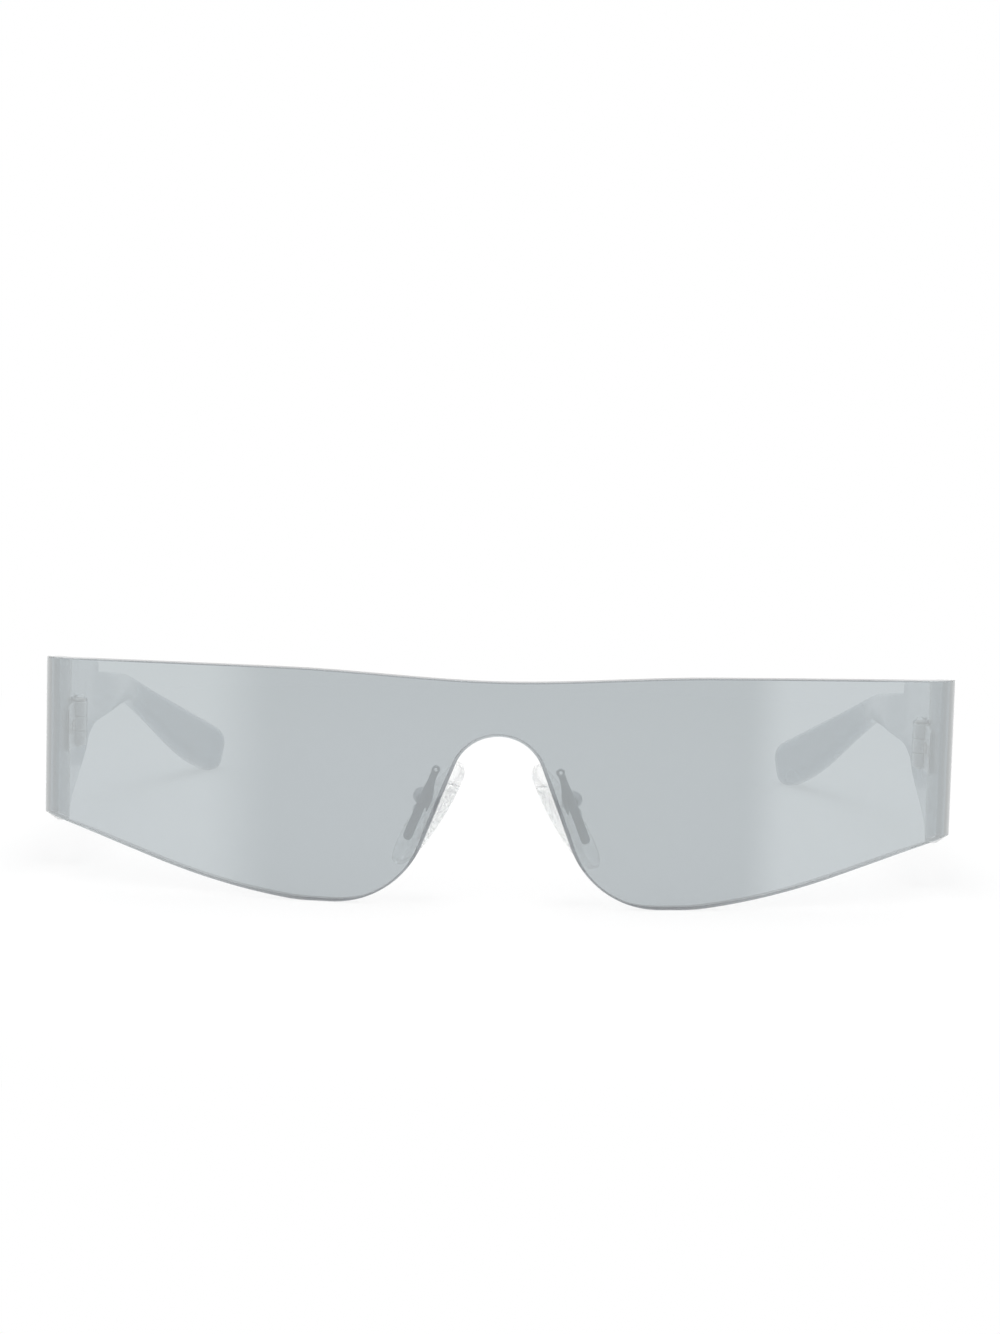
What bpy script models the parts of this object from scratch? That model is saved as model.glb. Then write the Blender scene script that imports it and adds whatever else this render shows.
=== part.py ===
"""Rimless one-piece shield sunglasses, as the separate pieces that they are put together from.

Metres, +Z up. The pair stands open on a flat surface, on the two lower lobes of the shield and on
the two temple tips. The shield faces -Y and the temples run back along +Y. Left and right are the
wearer's, so left is +X. Every mesh is worked out in a front frame, whose Y is zero at the foremost
point of the shield, and one empty carries the whole pair to the middle of its own length.
"""

import math

import bmesh
import bpy
import numpy as np
from mathutils import Euler, Matrix, Vector

MM = 0.001

# The wrapped shield
FRONT_WIDTH = 147.0 * MM
FRONT_BASE_RADIUS = 220.0 * MM
CORNER_RADIUS = 6.0 * MM
RETURN_TOE = math.radians(2.0)
SIDE_DEPTH = 30.0 * MM
LENS_THICKNESS = 2.0 * MM
EDGE_POLISH = 0.15 * MM

# The upper edge of the shield, as heights above the surface that it stands on
BROW_DIP_HEIGHT = 36.05 * MM
BROW_CREST_HEIGHT = 37.2 * MM
BROW_CREST_REACH = 34.0 * MM
BROW_CORNER_HEIGHT = 36.7 * MM
BROW_BEND_HEIGHT = 36.25 * MM
SEAM_TOP_HEIGHT = 34.3 * MM

# The lower edge of the shield: nose arch, flanks, lobes and the long climb to the corners
ARCH_HEIGHT = 27.4 * MM
ARCH_RADIUS = 7.35 * MM
FLANK_TILT = math.radians(21.0)
LOBE_INNER_RADIUS = 15.6 * MM
REST_FLAT_LENGTH = 3.4 * MM
LOBE_OUTER_RADIUS = 30.0 * MM
LOBE_LIFT = math.radians(8.5)
CLIMB_RADIUS = 120.0 * MM
LOWER_EDGE_CLIMB = math.radians(18.4)
LOW_BEND_HEIGHT = 10.7 * MM
SEAM_LOW_HEIGHT = 7.5 * MM

# The temples: a full-height panel that tapers to an arm, an ear bend and a flared tip
SEAM_GAP = 0.3 * MM
TEMPLE_LENGTH = 115.6 * MM
TEMPLE_DROP = math.radians(8.0)
TEMPLE_TOE = math.radians(0.6)
PANEL_LENGTH = 32.0 * MM
PANEL_THICKNESS = 1.8 * MM
PANEL_STEP = 1.7 * MM
STEP_BLEND = 0.5 * MM
ARM_HEIGHT_FRONT = 9.5 * MM
ARM_HEIGHT_BEND = 4.85 * MM
ARM_THICKNESS = 3.4 * MM
PADDLE_HEIGHT = 8.9 * MM
PADDLE_THICKNESS = 5.1 * MM
BEND_START = 64.0 * MM
BEND_LENGTH = 19.0 * MM
PADDLE_CURL = math.radians(22.0)
TIP_ROUND = 5.8 * MM
TIP_FULLNESS = 3.0
TIP_REST_CUT = 0.3 * MM
STEEPEST_TIP_DROP = math.radians(60.0)
PANEL_CORNER_SHARE = 0.16
ARM_CORNER_SHARE = 0.42
SECTION_LIMIT_SHARE = 0.96
THICKENING_START_SHARE = 0.8
THICKENING_END_SHARE = 1.5
BEND_THICKNESS_SHARE = 1.08
PANEL_LOWER_EDGE_SHARES = ((0.0, 1.0), (0.25, 0.812), (0.46, 0.697), (0.66, 0.585), (0.78, 0.475))
ARM_START_SHARE = 0.95
TAPER_LEFT_SHARE = 1.0 / 6.0
FLARE_START_SHARE = 0.6
FLARE_END_SHARE = 1.4
TIP_CLOSE_SHARE = 0.01

# The raised wedge on the inner side of each panel, which holds the hinge
WEDGE_EMBED = 0.4 * MM
WEDGE_TOP_SHARES = ((0.0, 0.235), (0.37, 0.215), (0.85, 0.305), (1.22, 0.34))
WEDGE_RIM_SHARES = ((0.86, 0.395), (0.70, 0.50), (0.60, 0.575), (0.42, 0.665), (0.24, 0.765), (0.0, 0.93))

# The three-knuckle hinge
HINGE_HEIGHT = 7.2 * MM
HINGE_MID_HEIGHT = 23.6 * MM
KNUCKLE_RADIUS = 1.25 * MM
KNUCKLE_GAP = 0.12 * MM
KNUCKLE_POCKET_GAP = 0.3 * MM
LEAF_THICKNESS = 0.8 * MM
LEAF_LENGTH = 9.2 * MM
LEAF_CORNER = 1.0 * MM
LEAF_SEAT_GAP = 0.12 * MM
HINGE_BORE_RADIUS = 0.70 * MM
HINGE_SCREW_RADIUS = 0.62 * MM
HINGE_SCREW_HEAD_RADIUS = 1.05 * MM
HINGE_SCREW_HEAD_HEIGHT = 0.5 * MM
HINGE_SCREW_TAIL = 0.3 * MM

# The small screws that hold the hinge leaves
LEAF_SCREW_FORE_SHARE = 0.36
LEAF_SCREW_AFT_SHARE = 0.78
LEAF_SCREW_RADIUS = 0.55 * MM
LEAF_SCREW_HEAD_RADIUS = 1.0 * MM
LEAF_SCREW_HEAD_HEIGHT = 0.32 * MM
LEAF_SCREW_BITE = 1.2 * MM
SCREW_CLEARANCE = 0.1 * MM
SCREW_END_GAP = 0.15 * MM
SLOT_WIDTH = 0.28 * MM
SLOT_DEPTH = 0.16 * MM
SCREW_POINT_SHARE = 0.7
SCREW_POINT_START_SHARE = 0.85
HEAD_CHAMFER_SHARE = 0.4
HEAD_TOP_SHARE = 0.8
HINGE_SCREW_POINT_SHARE = 0.8
HINGE_HEAD_TOP_SHARE = 0.85

# The stamped nose brackets, on the back of the shield beside the nose arch
BRACKET_REACH = 11.8 * MM
BRACKET_MID_HEIGHT = 17.0 * MM
BRACKET_TILT = math.radians(21.5)
BRACKET_THICKNESS = 0.7 * MM
BRACKET_SEAT_GAP = 0.12 * MM
STRIP_UPPER_LENGTH = 5.05 * MM
STRIP_LOWER_LENGTH = 6.4 * MM
EYELET_RADIUS = 0.7 * MM
NECK_HALF_WIDTH = 0.46 * MM
BAR_HALF_WIDTH = 0.62 * MM
BODY_INBOARD = 1.4 * MM
BODY_OUTBOARD = 0.75 * MM
BODY_UPPER_HEIGHT = 3.0 * MM
BODY_LOWER_HEIGHT = 1.7 * MM
FINGER_NOTCH = 0.45 * MM
BODY_CORNER_SHARE = 0.93
SHOULDER_WIDTH_SHARE = 0.6
SHOULDER_HEIGHT_SHARE = 0.8
NECK_FOOT_SHARE = 1.2
PEG_RADIUS = 0.36 * MM
PEG_HEAD_RADIUS = 0.54 * MM
PEG_HEAD_HEIGHT = 0.25 * MM
PEG_SEAT_DEPTH = 1.2 * MM
PEG_CLEARANCE = 0.08 * MM
PEG_CROWN_SHARE = 0.6

# The pad boxes, pad arms and the silicone nose pads
PAD_SPLAY = math.radians(22.0)
PAD_TILT = math.radians(32.0)
BOX_SETBACK = 4.4 * MM
BOX_DROP = 0.6 * MM
BOX_OUTBOARD = 0.4 * MM
BOX_RADIUS = 1.4 * MM
BOX_LENGTH = 2.2 * MM
BOX_BACK_WALL = 0.45 * MM
BOX_SLOT_WIDTH = 1.3 * MM
BOX_SLOT_HALF_HEIGHT = 1.02 * MM
BOX_EDGE_SHARE = 0.12
TAB_GAP = 0.12 * MM
TAB_HALF_HEIGHT = 0.75 * MM
TAB_PAST_SCREW = 0.55 * MM
PAD_SCREW_RADIUS = 0.36 * MM
PAD_SCREW_CLEARANCE = 0.08 * MM
PAD_SCREW_HEAD_RADIUS = 0.75 * MM
PAD_SCREW_HEAD_HEIGHT = 0.3 * MM
PAD_ARM_RADIUS = 0.45 * MM
PAD_ARM_SEAT_GAP = 0.15 * MM
ARM_SETBACK_SHARE = 0.72
ARM_ENTRY_SHARE = 1.6
PAD_LENGTH = 19.2 * MM
PAD_WIDTH = 8.0 * MM
PAD_THICKNESS = 2.3 * MM
PAD_BOX_GAP = 0.35 * MM
PAD_DROP = 1.85 * MM
PAD_RIM_HEIGHT = 0.6 * MM
PAD_WAIST_SHARE = 0.14
PAD_BACK_SHARE = 0.93
PAD_WALL_SHARE = 0.4
PAD_CROWN_SHARES = (0.35, 0.62, 0.82, 0.95)
PAD_CROWN_FULLNESS = 0.4
PAD_TOP_SHARE = 0.12
CORE_LENGTH = 12.5 * MM
CORE_WIDTH = 4.2 * MM
CORE_THICKNESS = 0.7 * MM
CORE_DEPTH = 0.8 * MM
CORE_CLEARANCE = 0.12 * MM
CORE_CORNER_SHARE = 0.9

# One overrun serves every cut that has to run past a face
OVERRUN = 0.6 * MM

# How finely the round forms are drawn
ARCH_STEPS = 12
LOBE_STEPS = 9
CLIMB_STEPS = 6
STRAIGHT_STEPS = 4
CORNER_STEPS = 14
SECTION_CORNER_STEPS = 4
SPINE_STEPS = 460
DROP_HALVINGS = 26
PANEL_STATIONS = 15
ARM_STATIONS = 9
BEND_STATIONS = 11
PADDLE_STATIONS = 6
TIP_STATIONS = 8
LEAF_CORNER_STEPS = 4
CORE_CORNER_STEPS = 5
EYELET_STEPS = 9
BAR_END_STEPS = 7
ROUTE_STEPS = 4
ROUND_SIDES = 20
SMALL_SIDES = 14
WIRE_SIDES = 10
PAD_SIDES = 28
SHARP_ANGLE = math.radians(32.0)
POLISH_ANGLE = math.radians(50.0)
PIVOT_MARK_SIZE = 5.0 * MM

LEFT = 1
RIGHT = -1
SIDE_NAMES = {LEFT: "left", RIGHT: "right"}


def smoothstep(value):
    """An S-shaped blend from 0 to 1."""
    value = np.clip(value, 0.0, 1.0)
    return value * value * (3.0 - 2.0 * value)


def through(places, values, at):
    """A smooth curve through points, with no overshoot between them."""
    places, values, at = (np.asarray(item, float) for item in (places, values, at))
    slope = np.diff(values) / np.diff(places)
    inner = np.where(slope[:-1] * slope[1:] > 0.0, slope[:-1] * slope[1:], 0.0)
    total = np.where(np.abs(slope[:-1] + slope[1:]) > 0.0, slope[:-1] + slope[1:], 1.0)
    tangent = np.concatenate([slope[:1], 2.0 * inner / total, slope[-1:]])
    index = np.clip(np.searchsorted(places, at, side="right") - 1, 0, len(slope) - 1)
    width = places[index + 1] - places[index]
    part = np.clip((at - places[index]) / width, 0.0, 1.0)
    blend = smoothstep(part)
    rise = part * (1.0 - part) ** 2 * tangent[index] - part**2 * (1.0 - part) * tangent[index + 1]
    return values[index] * (1.0 - blend) + values[index + 1] * blend + width * rise


# The plan of the shield: a long front arc, a tight corner and a straight return on each side

FRONT_HALF_ANGLE = math.asin((FRONT_WIDTH / 2 - CORNER_RADIUS) / (FRONT_BASE_RADIUS - CORNER_RADIUS))
CORNER_CENTRE_X = FRONT_WIDTH / 2 - CORNER_RADIUS
CORNER_CENTRE_Y = FRONT_BASE_RADIUS - (FRONT_BASE_RADIUS - CORNER_RADIUS) * math.cos(FRONT_HALF_ANGLE)
RETURN_ANGLE = math.pi / 2 + RETURN_TOE
FRONT_RUN = FRONT_BASE_RADIUS * FRONT_HALF_ANGLE
CORNER_RUN = CORNER_RADIUS * (RETURN_ANGLE - FRONT_HALF_ANGLE)
BEND_END_Y = CORNER_CENTRE_Y - CORNER_RADIUS * math.cos(RETURN_ANGLE)
RETURN_RUN = (SIDE_DEPTH - BEND_END_Y) / math.cos(RETURN_TOE)
SEAM_RUN = FRONT_RUN + CORNER_RUN + RETURN_RUN
SEAM_LEAN_RUN = (SEAM_TOP_HEIGHT - SEAM_LOW_HEIGHT) * math.tan(TEMPLE_DROP)


def shield_plan(run, depth=0.0):
    """The point at a distance along the outer face from the middle, and depth behind that face."""
    run = np.asarray(run, float)
    reach = np.abs(run)
    angle = np.where(
        reach <= FRONT_RUN,
        reach / FRONT_BASE_RADIUS,
        np.minimum(FRONT_HALF_ANGLE + (reach - FRONT_RUN) / CORNER_RADIUS, RETURN_ANGLE),
    )
    past = np.maximum(reach - FRONT_RUN - CORNER_RUN, 0.0)
    on_front = reach <= FRONT_RUN
    x = np.where(
        on_front,
        FRONT_BASE_RADIUS * np.sin(angle),
        CORNER_CENTRE_X + CORNER_RADIUS * np.sin(angle) - past * math.sin(RETURN_TOE),
    )
    y = np.where(
        on_front,
        FRONT_BASE_RADIUS * (1.0 - np.cos(angle)),
        CORNER_CENTRE_Y - CORNER_RADIUS * np.cos(angle) + past * math.cos(RETURN_TOE),
    )
    x = x - depth * np.sin(angle)
    y = y + depth * np.cos(angle)
    return np.sign(run) * x, y, angle


def front_run_at(x):
    """The distance along the outer face to a half-width on the front arc."""
    return FRONT_BASE_RADIUS * math.asin(x / FRONT_BASE_RADIUS)


def lower_edge_points():
    """The lower edge from the middle of the nose arch to the end of the climb, as (x, height)."""
    steep = math.pi / 2 - FLANK_TILT
    arch_centre = ARCH_HEIGHT - ARCH_RADIUS
    arch = [
        (ARCH_RADIUS * math.sin(turn), arch_centre + ARCH_RADIUS * math.cos(turn))
        for turn in np.linspace(0.0, steep, ARCH_STEPS + 1)
    ]
    flank_x, flank_height = arch[-1]
    foot_height = LOBE_INNER_RADIUS * (1.0 - math.cos(steep))
    foot_x = flank_x + (flank_height - foot_height) / math.tan(steep)
    flank = [
        (flank_x + (foot_x - flank_x) * share, flank_height + (foot_height - flank_height) * share)
        for share in np.linspace(0.0, 1.0, STRAIGHT_STEPS + 1)[1:-1]
    ]
    inner_centre = foot_x + LOBE_INNER_RADIUS * math.sin(steep)
    inner_lobe = [
        (inner_centre - LOBE_INNER_RADIUS * math.sin(turn), LOBE_INNER_RADIUS * (1.0 - math.cos(turn)))
        for turn in np.linspace(steep, 0.0, LOBE_STEPS + 1)
    ]
    outer_centre = inner_centre + REST_FLAT_LENGTH
    outer_lobe = [
        (outer_centre + LOBE_OUTER_RADIUS * math.sin(turn), LOBE_OUTER_RADIUS * (1.0 - math.cos(turn)))
        for turn in np.linspace(0.0, LOBE_LIFT, CLIMB_STEPS // 2 + 1)
    ]
    lift_x, lift_height = outer_lobe[-1]
    sweep = [
        (
            lift_x + CLIMB_RADIUS * (math.sin(turn) - math.sin(LOBE_LIFT)),
            lift_height + CLIMB_RADIUS * (math.cos(LOBE_LIFT) - math.cos(turn)),
        )
        for turn in np.linspace(LOBE_LIFT, LOWER_EDGE_CLIMB, CLIMB_STEPS + 1)[1:]
    ]
    climb_x, climb_height = sweep[-1]
    end_x = FRONT_BASE_RADIUS * math.sin(FRONT_HALF_ANGLE)
    climb = [
        (x, climb_height + (x - climb_x) * math.tan(LOWER_EDGE_CLIMB))
        for x in np.linspace(climb_x, end_x, STRAIGHT_STEPS + 1)[1:]
    ]
    return arch + flank + inner_lobe + outer_lobe + sweep + climb


LOWER_EDGE = lower_edge_points()


def brow_height(x):
    """The height of the upper edge over the front arc."""
    end_x = FRONT_BASE_RADIUS * math.sin(FRONT_HALF_ANGLE)
    if x <= BROW_CREST_REACH:
        rise = float(smoothstep(x / BROW_CREST_REACH))
        return BROW_DIP_HEIGHT + (BROW_CREST_HEIGHT - BROW_DIP_HEIGHT) * rise
    fall = ((x - BROW_CREST_REACH) / (end_x - BROW_CREST_REACH)) ** 2
    return BROW_CREST_HEIGHT - (BROW_CREST_HEIGHT - BROW_CORNER_HEIGHT) * fall


def eased(share, start, end, start_slope, end_slope, length):
    """A height that leaves one edge line and joins the next with both of their slopes."""
    blend = float(smoothstep(share))
    swing = share * (1.0 - share) ** 2 * start_slope - share**2 * (1.0 - share) * end_slope
    return start * (1.0 - blend) + end * blend + length * swing


def shield_columns():
    """One upright column per step around the right half: (run at foot, foot, run at top, top)."""
    columns = []
    for x, height in LOWER_EDGE:
        run = front_run_at(x)
        columns.append((run, height, run, brow_height(x)))
    low_start, top_start = columns[-1][1], columns[-1][3]
    low_fall = (SEAM_LOW_HEIGHT - LOW_BEND_HEIGHT) / RETURN_RUN
    top_fall = (SEAM_TOP_HEIGHT - BROW_BEND_HEIGHT) / RETURN_RUN
    for share in np.linspace(0.0, 1.0, CORNER_STEPS + 1)[1:]:
        run = FRONT_RUN + CORNER_RUN * share
        climb = math.tan(LOWER_EDGE_CLIMB)
        low = eased(share, low_start, LOW_BEND_HEIGHT, climb, low_fall, CORNER_RUN)
        top = eased(share, top_start, BROW_BEND_HEIGHT, 0.0, top_fall, CORNER_RUN)
        columns.append((run, low, run, top))
    low_run = SEAM_RUN - SEAM_LEAN_RUN / 2
    top_run = SEAM_RUN + SEAM_LEAN_RUN / 2
    columns.append((low_run, SEAM_LOW_HEIGHT, top_run, SEAM_TOP_HEIGHT))
    return columns


# The temple's own line: straight from the seam, then down and in behind the ear

SEAM_HEIGHT = (SEAM_TOP_HEIGHT - SEAM_LOW_HEIGHT) / math.cos(TEMPLE_DROP)
SPINE_STEP = TEMPLE_LENGTH / SPINE_STEPS


def temple_spine(paddle_drop):
    """The upper outer edge line of the left temple: distances, points, directions, outward normals."""
    lengths = np.arange(0.0, TEMPLE_LENGTH + SPINE_STEP / 2, SPINE_STEP)
    bend = smoothstep((lengths - BEND_START) / BEND_LENGTH)
    drop = TEMPLE_DROP + (paddle_drop - TEMPLE_DROP) * bend
    toe = TEMPLE_TOE + (PADDLE_CURL - TEMPLE_TOE) * bend
    along = np.stack([-np.sin(toe) * np.cos(drop), np.cos(toe) * np.cos(drop), -np.sin(drop)], axis=1)
    x, y, _ = shield_plan(SEAM_RUN + SEAM_LEAN_RUN / 2)
    start = np.array([float(x), float(y), SEAM_TOP_HEIGHT]) + along[0] * SEAM_GAP
    steps = (along[1:] + along[:-1]) / 2 * SPINE_STEP
    points = np.concatenate([start[None], start[None] + np.cumsum(steps, axis=0)])
    outward = np.stack([np.cos(toe), np.sin(toe), np.zeros_like(toe)], axis=1)
    return lengths, points, along, outward


def temple_stations():
    """The distances along the temple at which its section is drawn."""
    bend_end = BEND_START + BEND_LENGTH
    panel = np.linspace(0.0, PANEL_LENGTH, PANEL_STATIONS)
    arm = np.linspace(PANEL_LENGTH + STEP_BLEND, BEND_START, ARM_STATIONS)
    bend = np.linspace(BEND_START, bend_end, BEND_STATIONS)[1:]
    paddle = np.linspace(bend_end, TEMPLE_LENGTH - TIP_ROUND, PADDLE_STATIONS)[1:]
    turn = np.linspace(0.0, math.pi / 2, TIP_STATIONS)[1:]
    tip = TEMPLE_LENGTH - TIP_ROUND * (1.0 - np.sin(turn))
    return np.concatenate([panel, arm, bend, paddle, tip[:-1], tip[-1:] - TIP_ROUND * TIP_CLOSE_SHARE])


def temple_upper_offset(lengths):
    """How far the top edge lies below the upper edge line: the panel's step comes at its end."""
    return PANEL_STEP * smoothstep((lengths - PANEL_LENGTH) / STEP_BLEND)


def temple_lower_offset(lengths):
    """How far the lower edge lies below the upper edge line."""
    panel_places = [share * PANEL_LENGTH for share, _ in PANEL_LOWER_EDGE_SHARES]
    panel_values = [share * SEAM_HEIGHT for _, share in PANEL_LOWER_EDGE_SHARES]
    arm_places = [
        PANEL_LENGTH * ARM_START_SHARE,
        (PANEL_LENGTH + BEND_START) / 2,
        BEND_START,
        BEND_START + BEND_LENGTH * FLARE_START_SHARE,
        TEMPLE_LENGTH - TIP_ROUND * FLARE_END_SHARE,
        TEMPLE_LENGTH,
    ]
    bend_offset = PANEL_STEP + ARM_HEIGHT_BEND
    front_offset = PANEL_STEP + ARM_HEIGHT_FRONT
    arm_values = [
        front_offset,
        (front_offset + bend_offset) / 2,
        bend_offset + (front_offset - bend_offset) * TAPER_LEFT_SHARE,
        bend_offset,
        PANEL_STEP + PADDLE_HEIGHT,
        PANEL_STEP + PADDLE_HEIGHT,
    ]
    return through(panel_places + arm_places, panel_values + arm_values, lengths)


def temple_thickness(lengths):
    """The temple's thickness, from the flat panel to the full tip."""
    places = [
        0.0,
        PANEL_LENGTH * THICKENING_START_SHARE,
        PANEL_LENGTH * THICKENING_END_SHARE,
        BEND_START + BEND_LENGTH,
        TEMPLE_LENGTH - TIP_ROUND,
    ]
    at_bend = ARM_THICKNESS * BEND_THICKNESS_SHARE
    values = [PANEL_THICKNESS, PANEL_THICKNESS, ARM_THICKNESS, at_bend, PADDLE_THICKNESS]
    return through(places, values, lengths)


def rounded_section(half_width, half_height, corner):
    """A rounded rectangle's points in its own plane, corner by corner."""
    points = []
    for turn, across, up in ((0, 1, 1), (1, -1, 1), (2, -1, -1), (3, 1, -1)):
        for share in np.linspace(0.0, 1.0, SECTION_CORNER_STEPS):
            angle = (turn + share) * math.pi / 2
            points.append((
                across * (half_width - corner) + corner * math.cos(angle),
                up * (half_height - corner) + corner * math.sin(angle),
            ))
    return points


def temple_rings(paddle_drop):
    """The rounded sections of the left temple, each square to its line."""
    lengths, points, along, outward = temple_spine(paddle_drop)
    stations = temple_stations()
    upper, lower = temple_upper_offset(stations), temple_lower_offset(stations)
    thickness = temple_thickness(stations)
    to_end = np.clip((stations - (TEMPLE_LENGTH - TIP_ROUND)) / TIP_ROUND, 0.0, 1.0)
    fade = (1.0 - to_end**TIP_FULLNESS) ** (1.0 / TIP_FULLNESS)
    rounding = smoothstep((stations - PANEL_LENGTH / 2) / PANEL_LENGTH)
    rings = []
    for place, high, low, width, shrink, blend in zip(stations, upper, lower, thickness, fade, rounding):
        spot = np.array([np.interp(place, lengths, points[:, axis]) for axis in range(3)])
        forward = np.array([np.interp(place, lengths, along[:, axis]) for axis in range(3)])
        side = np.array([np.interp(place, lengths, outward[:, axis]) for axis in range(3)])
        rise = np.cross(side, forward)
        middle = spot - side * width / 2 - rise * (high + low) / 2
        share = PANEL_CORNER_SHARE + (ARM_CORNER_SHARE - PANEL_CORNER_SHARE) * float(blend)
        half_width, half_height = width / 2 * shrink, (low - high) / 2 * shrink
        corner = min(width * share, half_width * SECTION_LIMIT_SHARE)
        section = rounded_section(half_width, half_height, corner)
        rings.append([middle + side * across + rise * up for across, up in section])
    return np.array(rings)


def solved_paddle_drop():
    """The slope of the tip that brings its lower edge down to the surface, less the rest cut."""
    shallow, steep = TEMPLE_DROP, STEEPEST_TIP_DROP
    for _ in range(DROP_HALVINGS):
        middle = (shallow + steep) / 2
        if temple_rings(middle)[:, :, 2].min() > -TIP_REST_CUT:
            shallow = middle
        else:
            steep = middle
    return (shallow + steep) / 2


PADDLE_DROP = solved_paddle_drop()
OVERALL_DEPTH = float(temple_rings(PADDLE_DROP)[:, :, 1].max())

# The fold axis stands in the middle of the seam, just inside the panel

SEAM_MID_HEIGHT = (SEAM_TOP_HEIGHT + SEAM_LOW_HEIGHT) / 2
FOLD_Y = SIDE_DEPTH + (HINGE_MID_HEIGHT - SEAM_MID_HEIGHT) * math.tan(TEMPLE_DROP) + SEAM_GAP / 2
FOLD_RUN = SEAM_RUN + (FOLD_Y - SIDE_DEPTH) / math.cos(RETURN_TOE)
INNER_FACE_X = float(shield_plan(FOLD_RUN, LENS_THICKNESS)[0])
FOLD_X = INNER_FACE_X - LEAF_SEAT_GAP - KNUCKLE_RADIUS
HINGE_LOW = HINGE_MID_HEIGHT - HINGE_HEIGHT / 2
HINGE_HIGH = HINGE_MID_HEIGHT + HINGE_HEIGHT / 2
KNUCKLE_HEIGHT = (HINGE_HEIGHT - 2 * KNUCKLE_GAP) / 3


def new_bmesh_from(points, faces):
    """A bmesh from points and faces, with its faces turned outwards."""
    bm = bmesh.new()
    verts = [bm.verts.new(point) for point in points]
    for face in faces:
        bm.faces.new([verts[index] for index in face])
    bmesh.ops.recalc_face_normals(bm, faces=bm.faces)
    return bm


def loft(rings):
    """A closed skin over equal rings of points, capped at both ends."""
    count = len(rings[0])
    points = [tuple(point) for ring in rings for point in ring]
    faces = []
    for ring in range(len(rings) - 1):
        for index in range(count):
            after = (index + 1) % count
            here, there = ring * count, (ring + 1) * count
            faces.append((here + index, here + after, there + after, there + index))
    faces.append(tuple(range(count)))
    last = (len(rings) - 1) * count
    faces.append(tuple(last + index for index in range(count)))
    return new_bmesh_from(points, faces)


def turned(profile, sides, frame):
    """A turned solid: (radius, height) pairs carried round the frame's third axis."""
    rings = []
    for radius, height in profile:
        ring = []
        for index in range(sides):
            angle = 2 * math.pi * index / sides
            ring.append(frame @ Vector((radius * math.cos(angle), radius * math.sin(angle), height)))
        rings.append(ring)
    return loft(rings)


def cylinder(radius, low, high, sides, frame):
    """A plain round bar or bore between two heights of a frame."""
    return turned([(radius, low), (radius, high)], sides, frame)


def prism(outline, low, high, frame):
    """An outline in a frame's first two axes, raised between two heights of its third."""
    rings = [[frame @ Vector((a, b, height)) for a, b in outline] for height in (low, high)]
    return loft(rings)


def block(low, high, frame):
    """A box between two corners of a frame."""
    outline = ((low[0], low[1]), (high[0], low[1]), (high[0], high[1]), (low[0], high[1]))
    return prism(outline, low[2], high[2], frame)


def rounded_outline(low, high, radius, steps):
    """A rectangle with round corners, as points in a plane."""
    half_width, half_height = (high[0] - low[0]) / 2, (high[1] - low[1]) / 2
    centre = ((high[0] + low[0]) / 2, (high[1] + low[1]) / 2)
    points = []
    for turn, across, up in ((0, 1, 1), (1, -1, 1), (2, -1, -1), (3, 1, -1)):
        for share in np.linspace(0.0, 1.0, steps):
            angle = (turn + share) * math.pi / 2
            points.append((
                centre[0] + across * (half_width - radius) + radius * math.cos(angle),
                centre[1] + up * (half_height - radius) + radius * math.sin(angle),
            ))
    return points


def axes_frame(origin, first, second, third):
    """A frame from its origin and its three axes."""
    frame = Matrix.Identity(4)
    for column, axis in enumerate((first, second, third)):
        for row in range(3):
            frame[row][column] = axis[row]
    frame.translation = Vector(origin)
    return frame


# Objects, their materials and the cuts between them


def principled(name, colour, metallic, roughness, transmission=0.0):
    """A named material with a Principled shader."""
    material = bpy.data.materials.new(name)
    material.use_nodes = True
    shader = next(node for node in material.node_tree.nodes if node.type == "BSDF_PRINCIPLED")
    shader.inputs["Base Color"].default_value = (*colour, 1.0)
    shader.inputs["Metallic"].default_value = metallic
    shader.inputs["Roughness"].default_value = roughness
    shader.inputs["Transmission Weight"].default_value = transmission
    material.diffuse_color = (*colour, 1.0)
    material.metallic = metallic
    material.roughness = roughness
    return material


def mesh_object(name, bm, side, origin, parent):
    """An object from a bmesh in the front frame, mirrored for the right side, with its own origin."""
    if side == RIGHT:
        bmesh.ops.transform(bm, matrix=Matrix.Diagonal((-1.0, 1.0, 1.0, 1.0)), verts=bm.verts)
        bmesh.ops.reverse_faces(bm, faces=bm.faces)
    place = Vector((origin[0] * side, origin[1], origin[2]))
    bmesh.ops.translate(bm, vec=-place, verts=bm.verts)
    mesh = bpy.data.meshes.new(name)
    bm.to_mesh(mesh)
    bm.free()
    thing = bpy.data.objects.new(name, mesh)
    bpy.context.scene.collection.objects.link(thing)
    thing.parent = parent
    thing.location = place - parent_place(parent)
    return thing


def parent_place(parent):
    """Where an empty stands in the front frame."""
    place = Vector((0.0, 0.0, 0.0))
    while parent is not None and parent.parent is not None:
        place += parent.location
        parent = parent.parent
    return place


def piece(name, bm, side, origin, parent, material, smooth=True):
    """A piece of the sunglasses: its object, its material and its shading."""
    thing = mesh_object(name, bm, side, origin, parent)
    thing.data.materials.append(material)
    if smooth:
        thing.data.shade_smooth()
        thing.data.set_sharp_from_angle(angle=SHARP_ANGLE)
    return thing


def boolean(thing, bm, name, side, parent, operation="DIFFERENCE"):
    """Cuts a hidden guide solid out of a piece, or joins it on."""
    cutter = mesh_object(name, bm, side, (0.0, 0.0, 0.0), None)
    cutter.parent = parent
    cutter.hide_render = True
    cutter.display_type = "WIRE"
    modifier = thing.modifiers.new(name, "BOOLEAN")
    modifier.operation = operation
    modifier.solver = "EXACT"
    modifier.object = cutter
    return cutter


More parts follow.
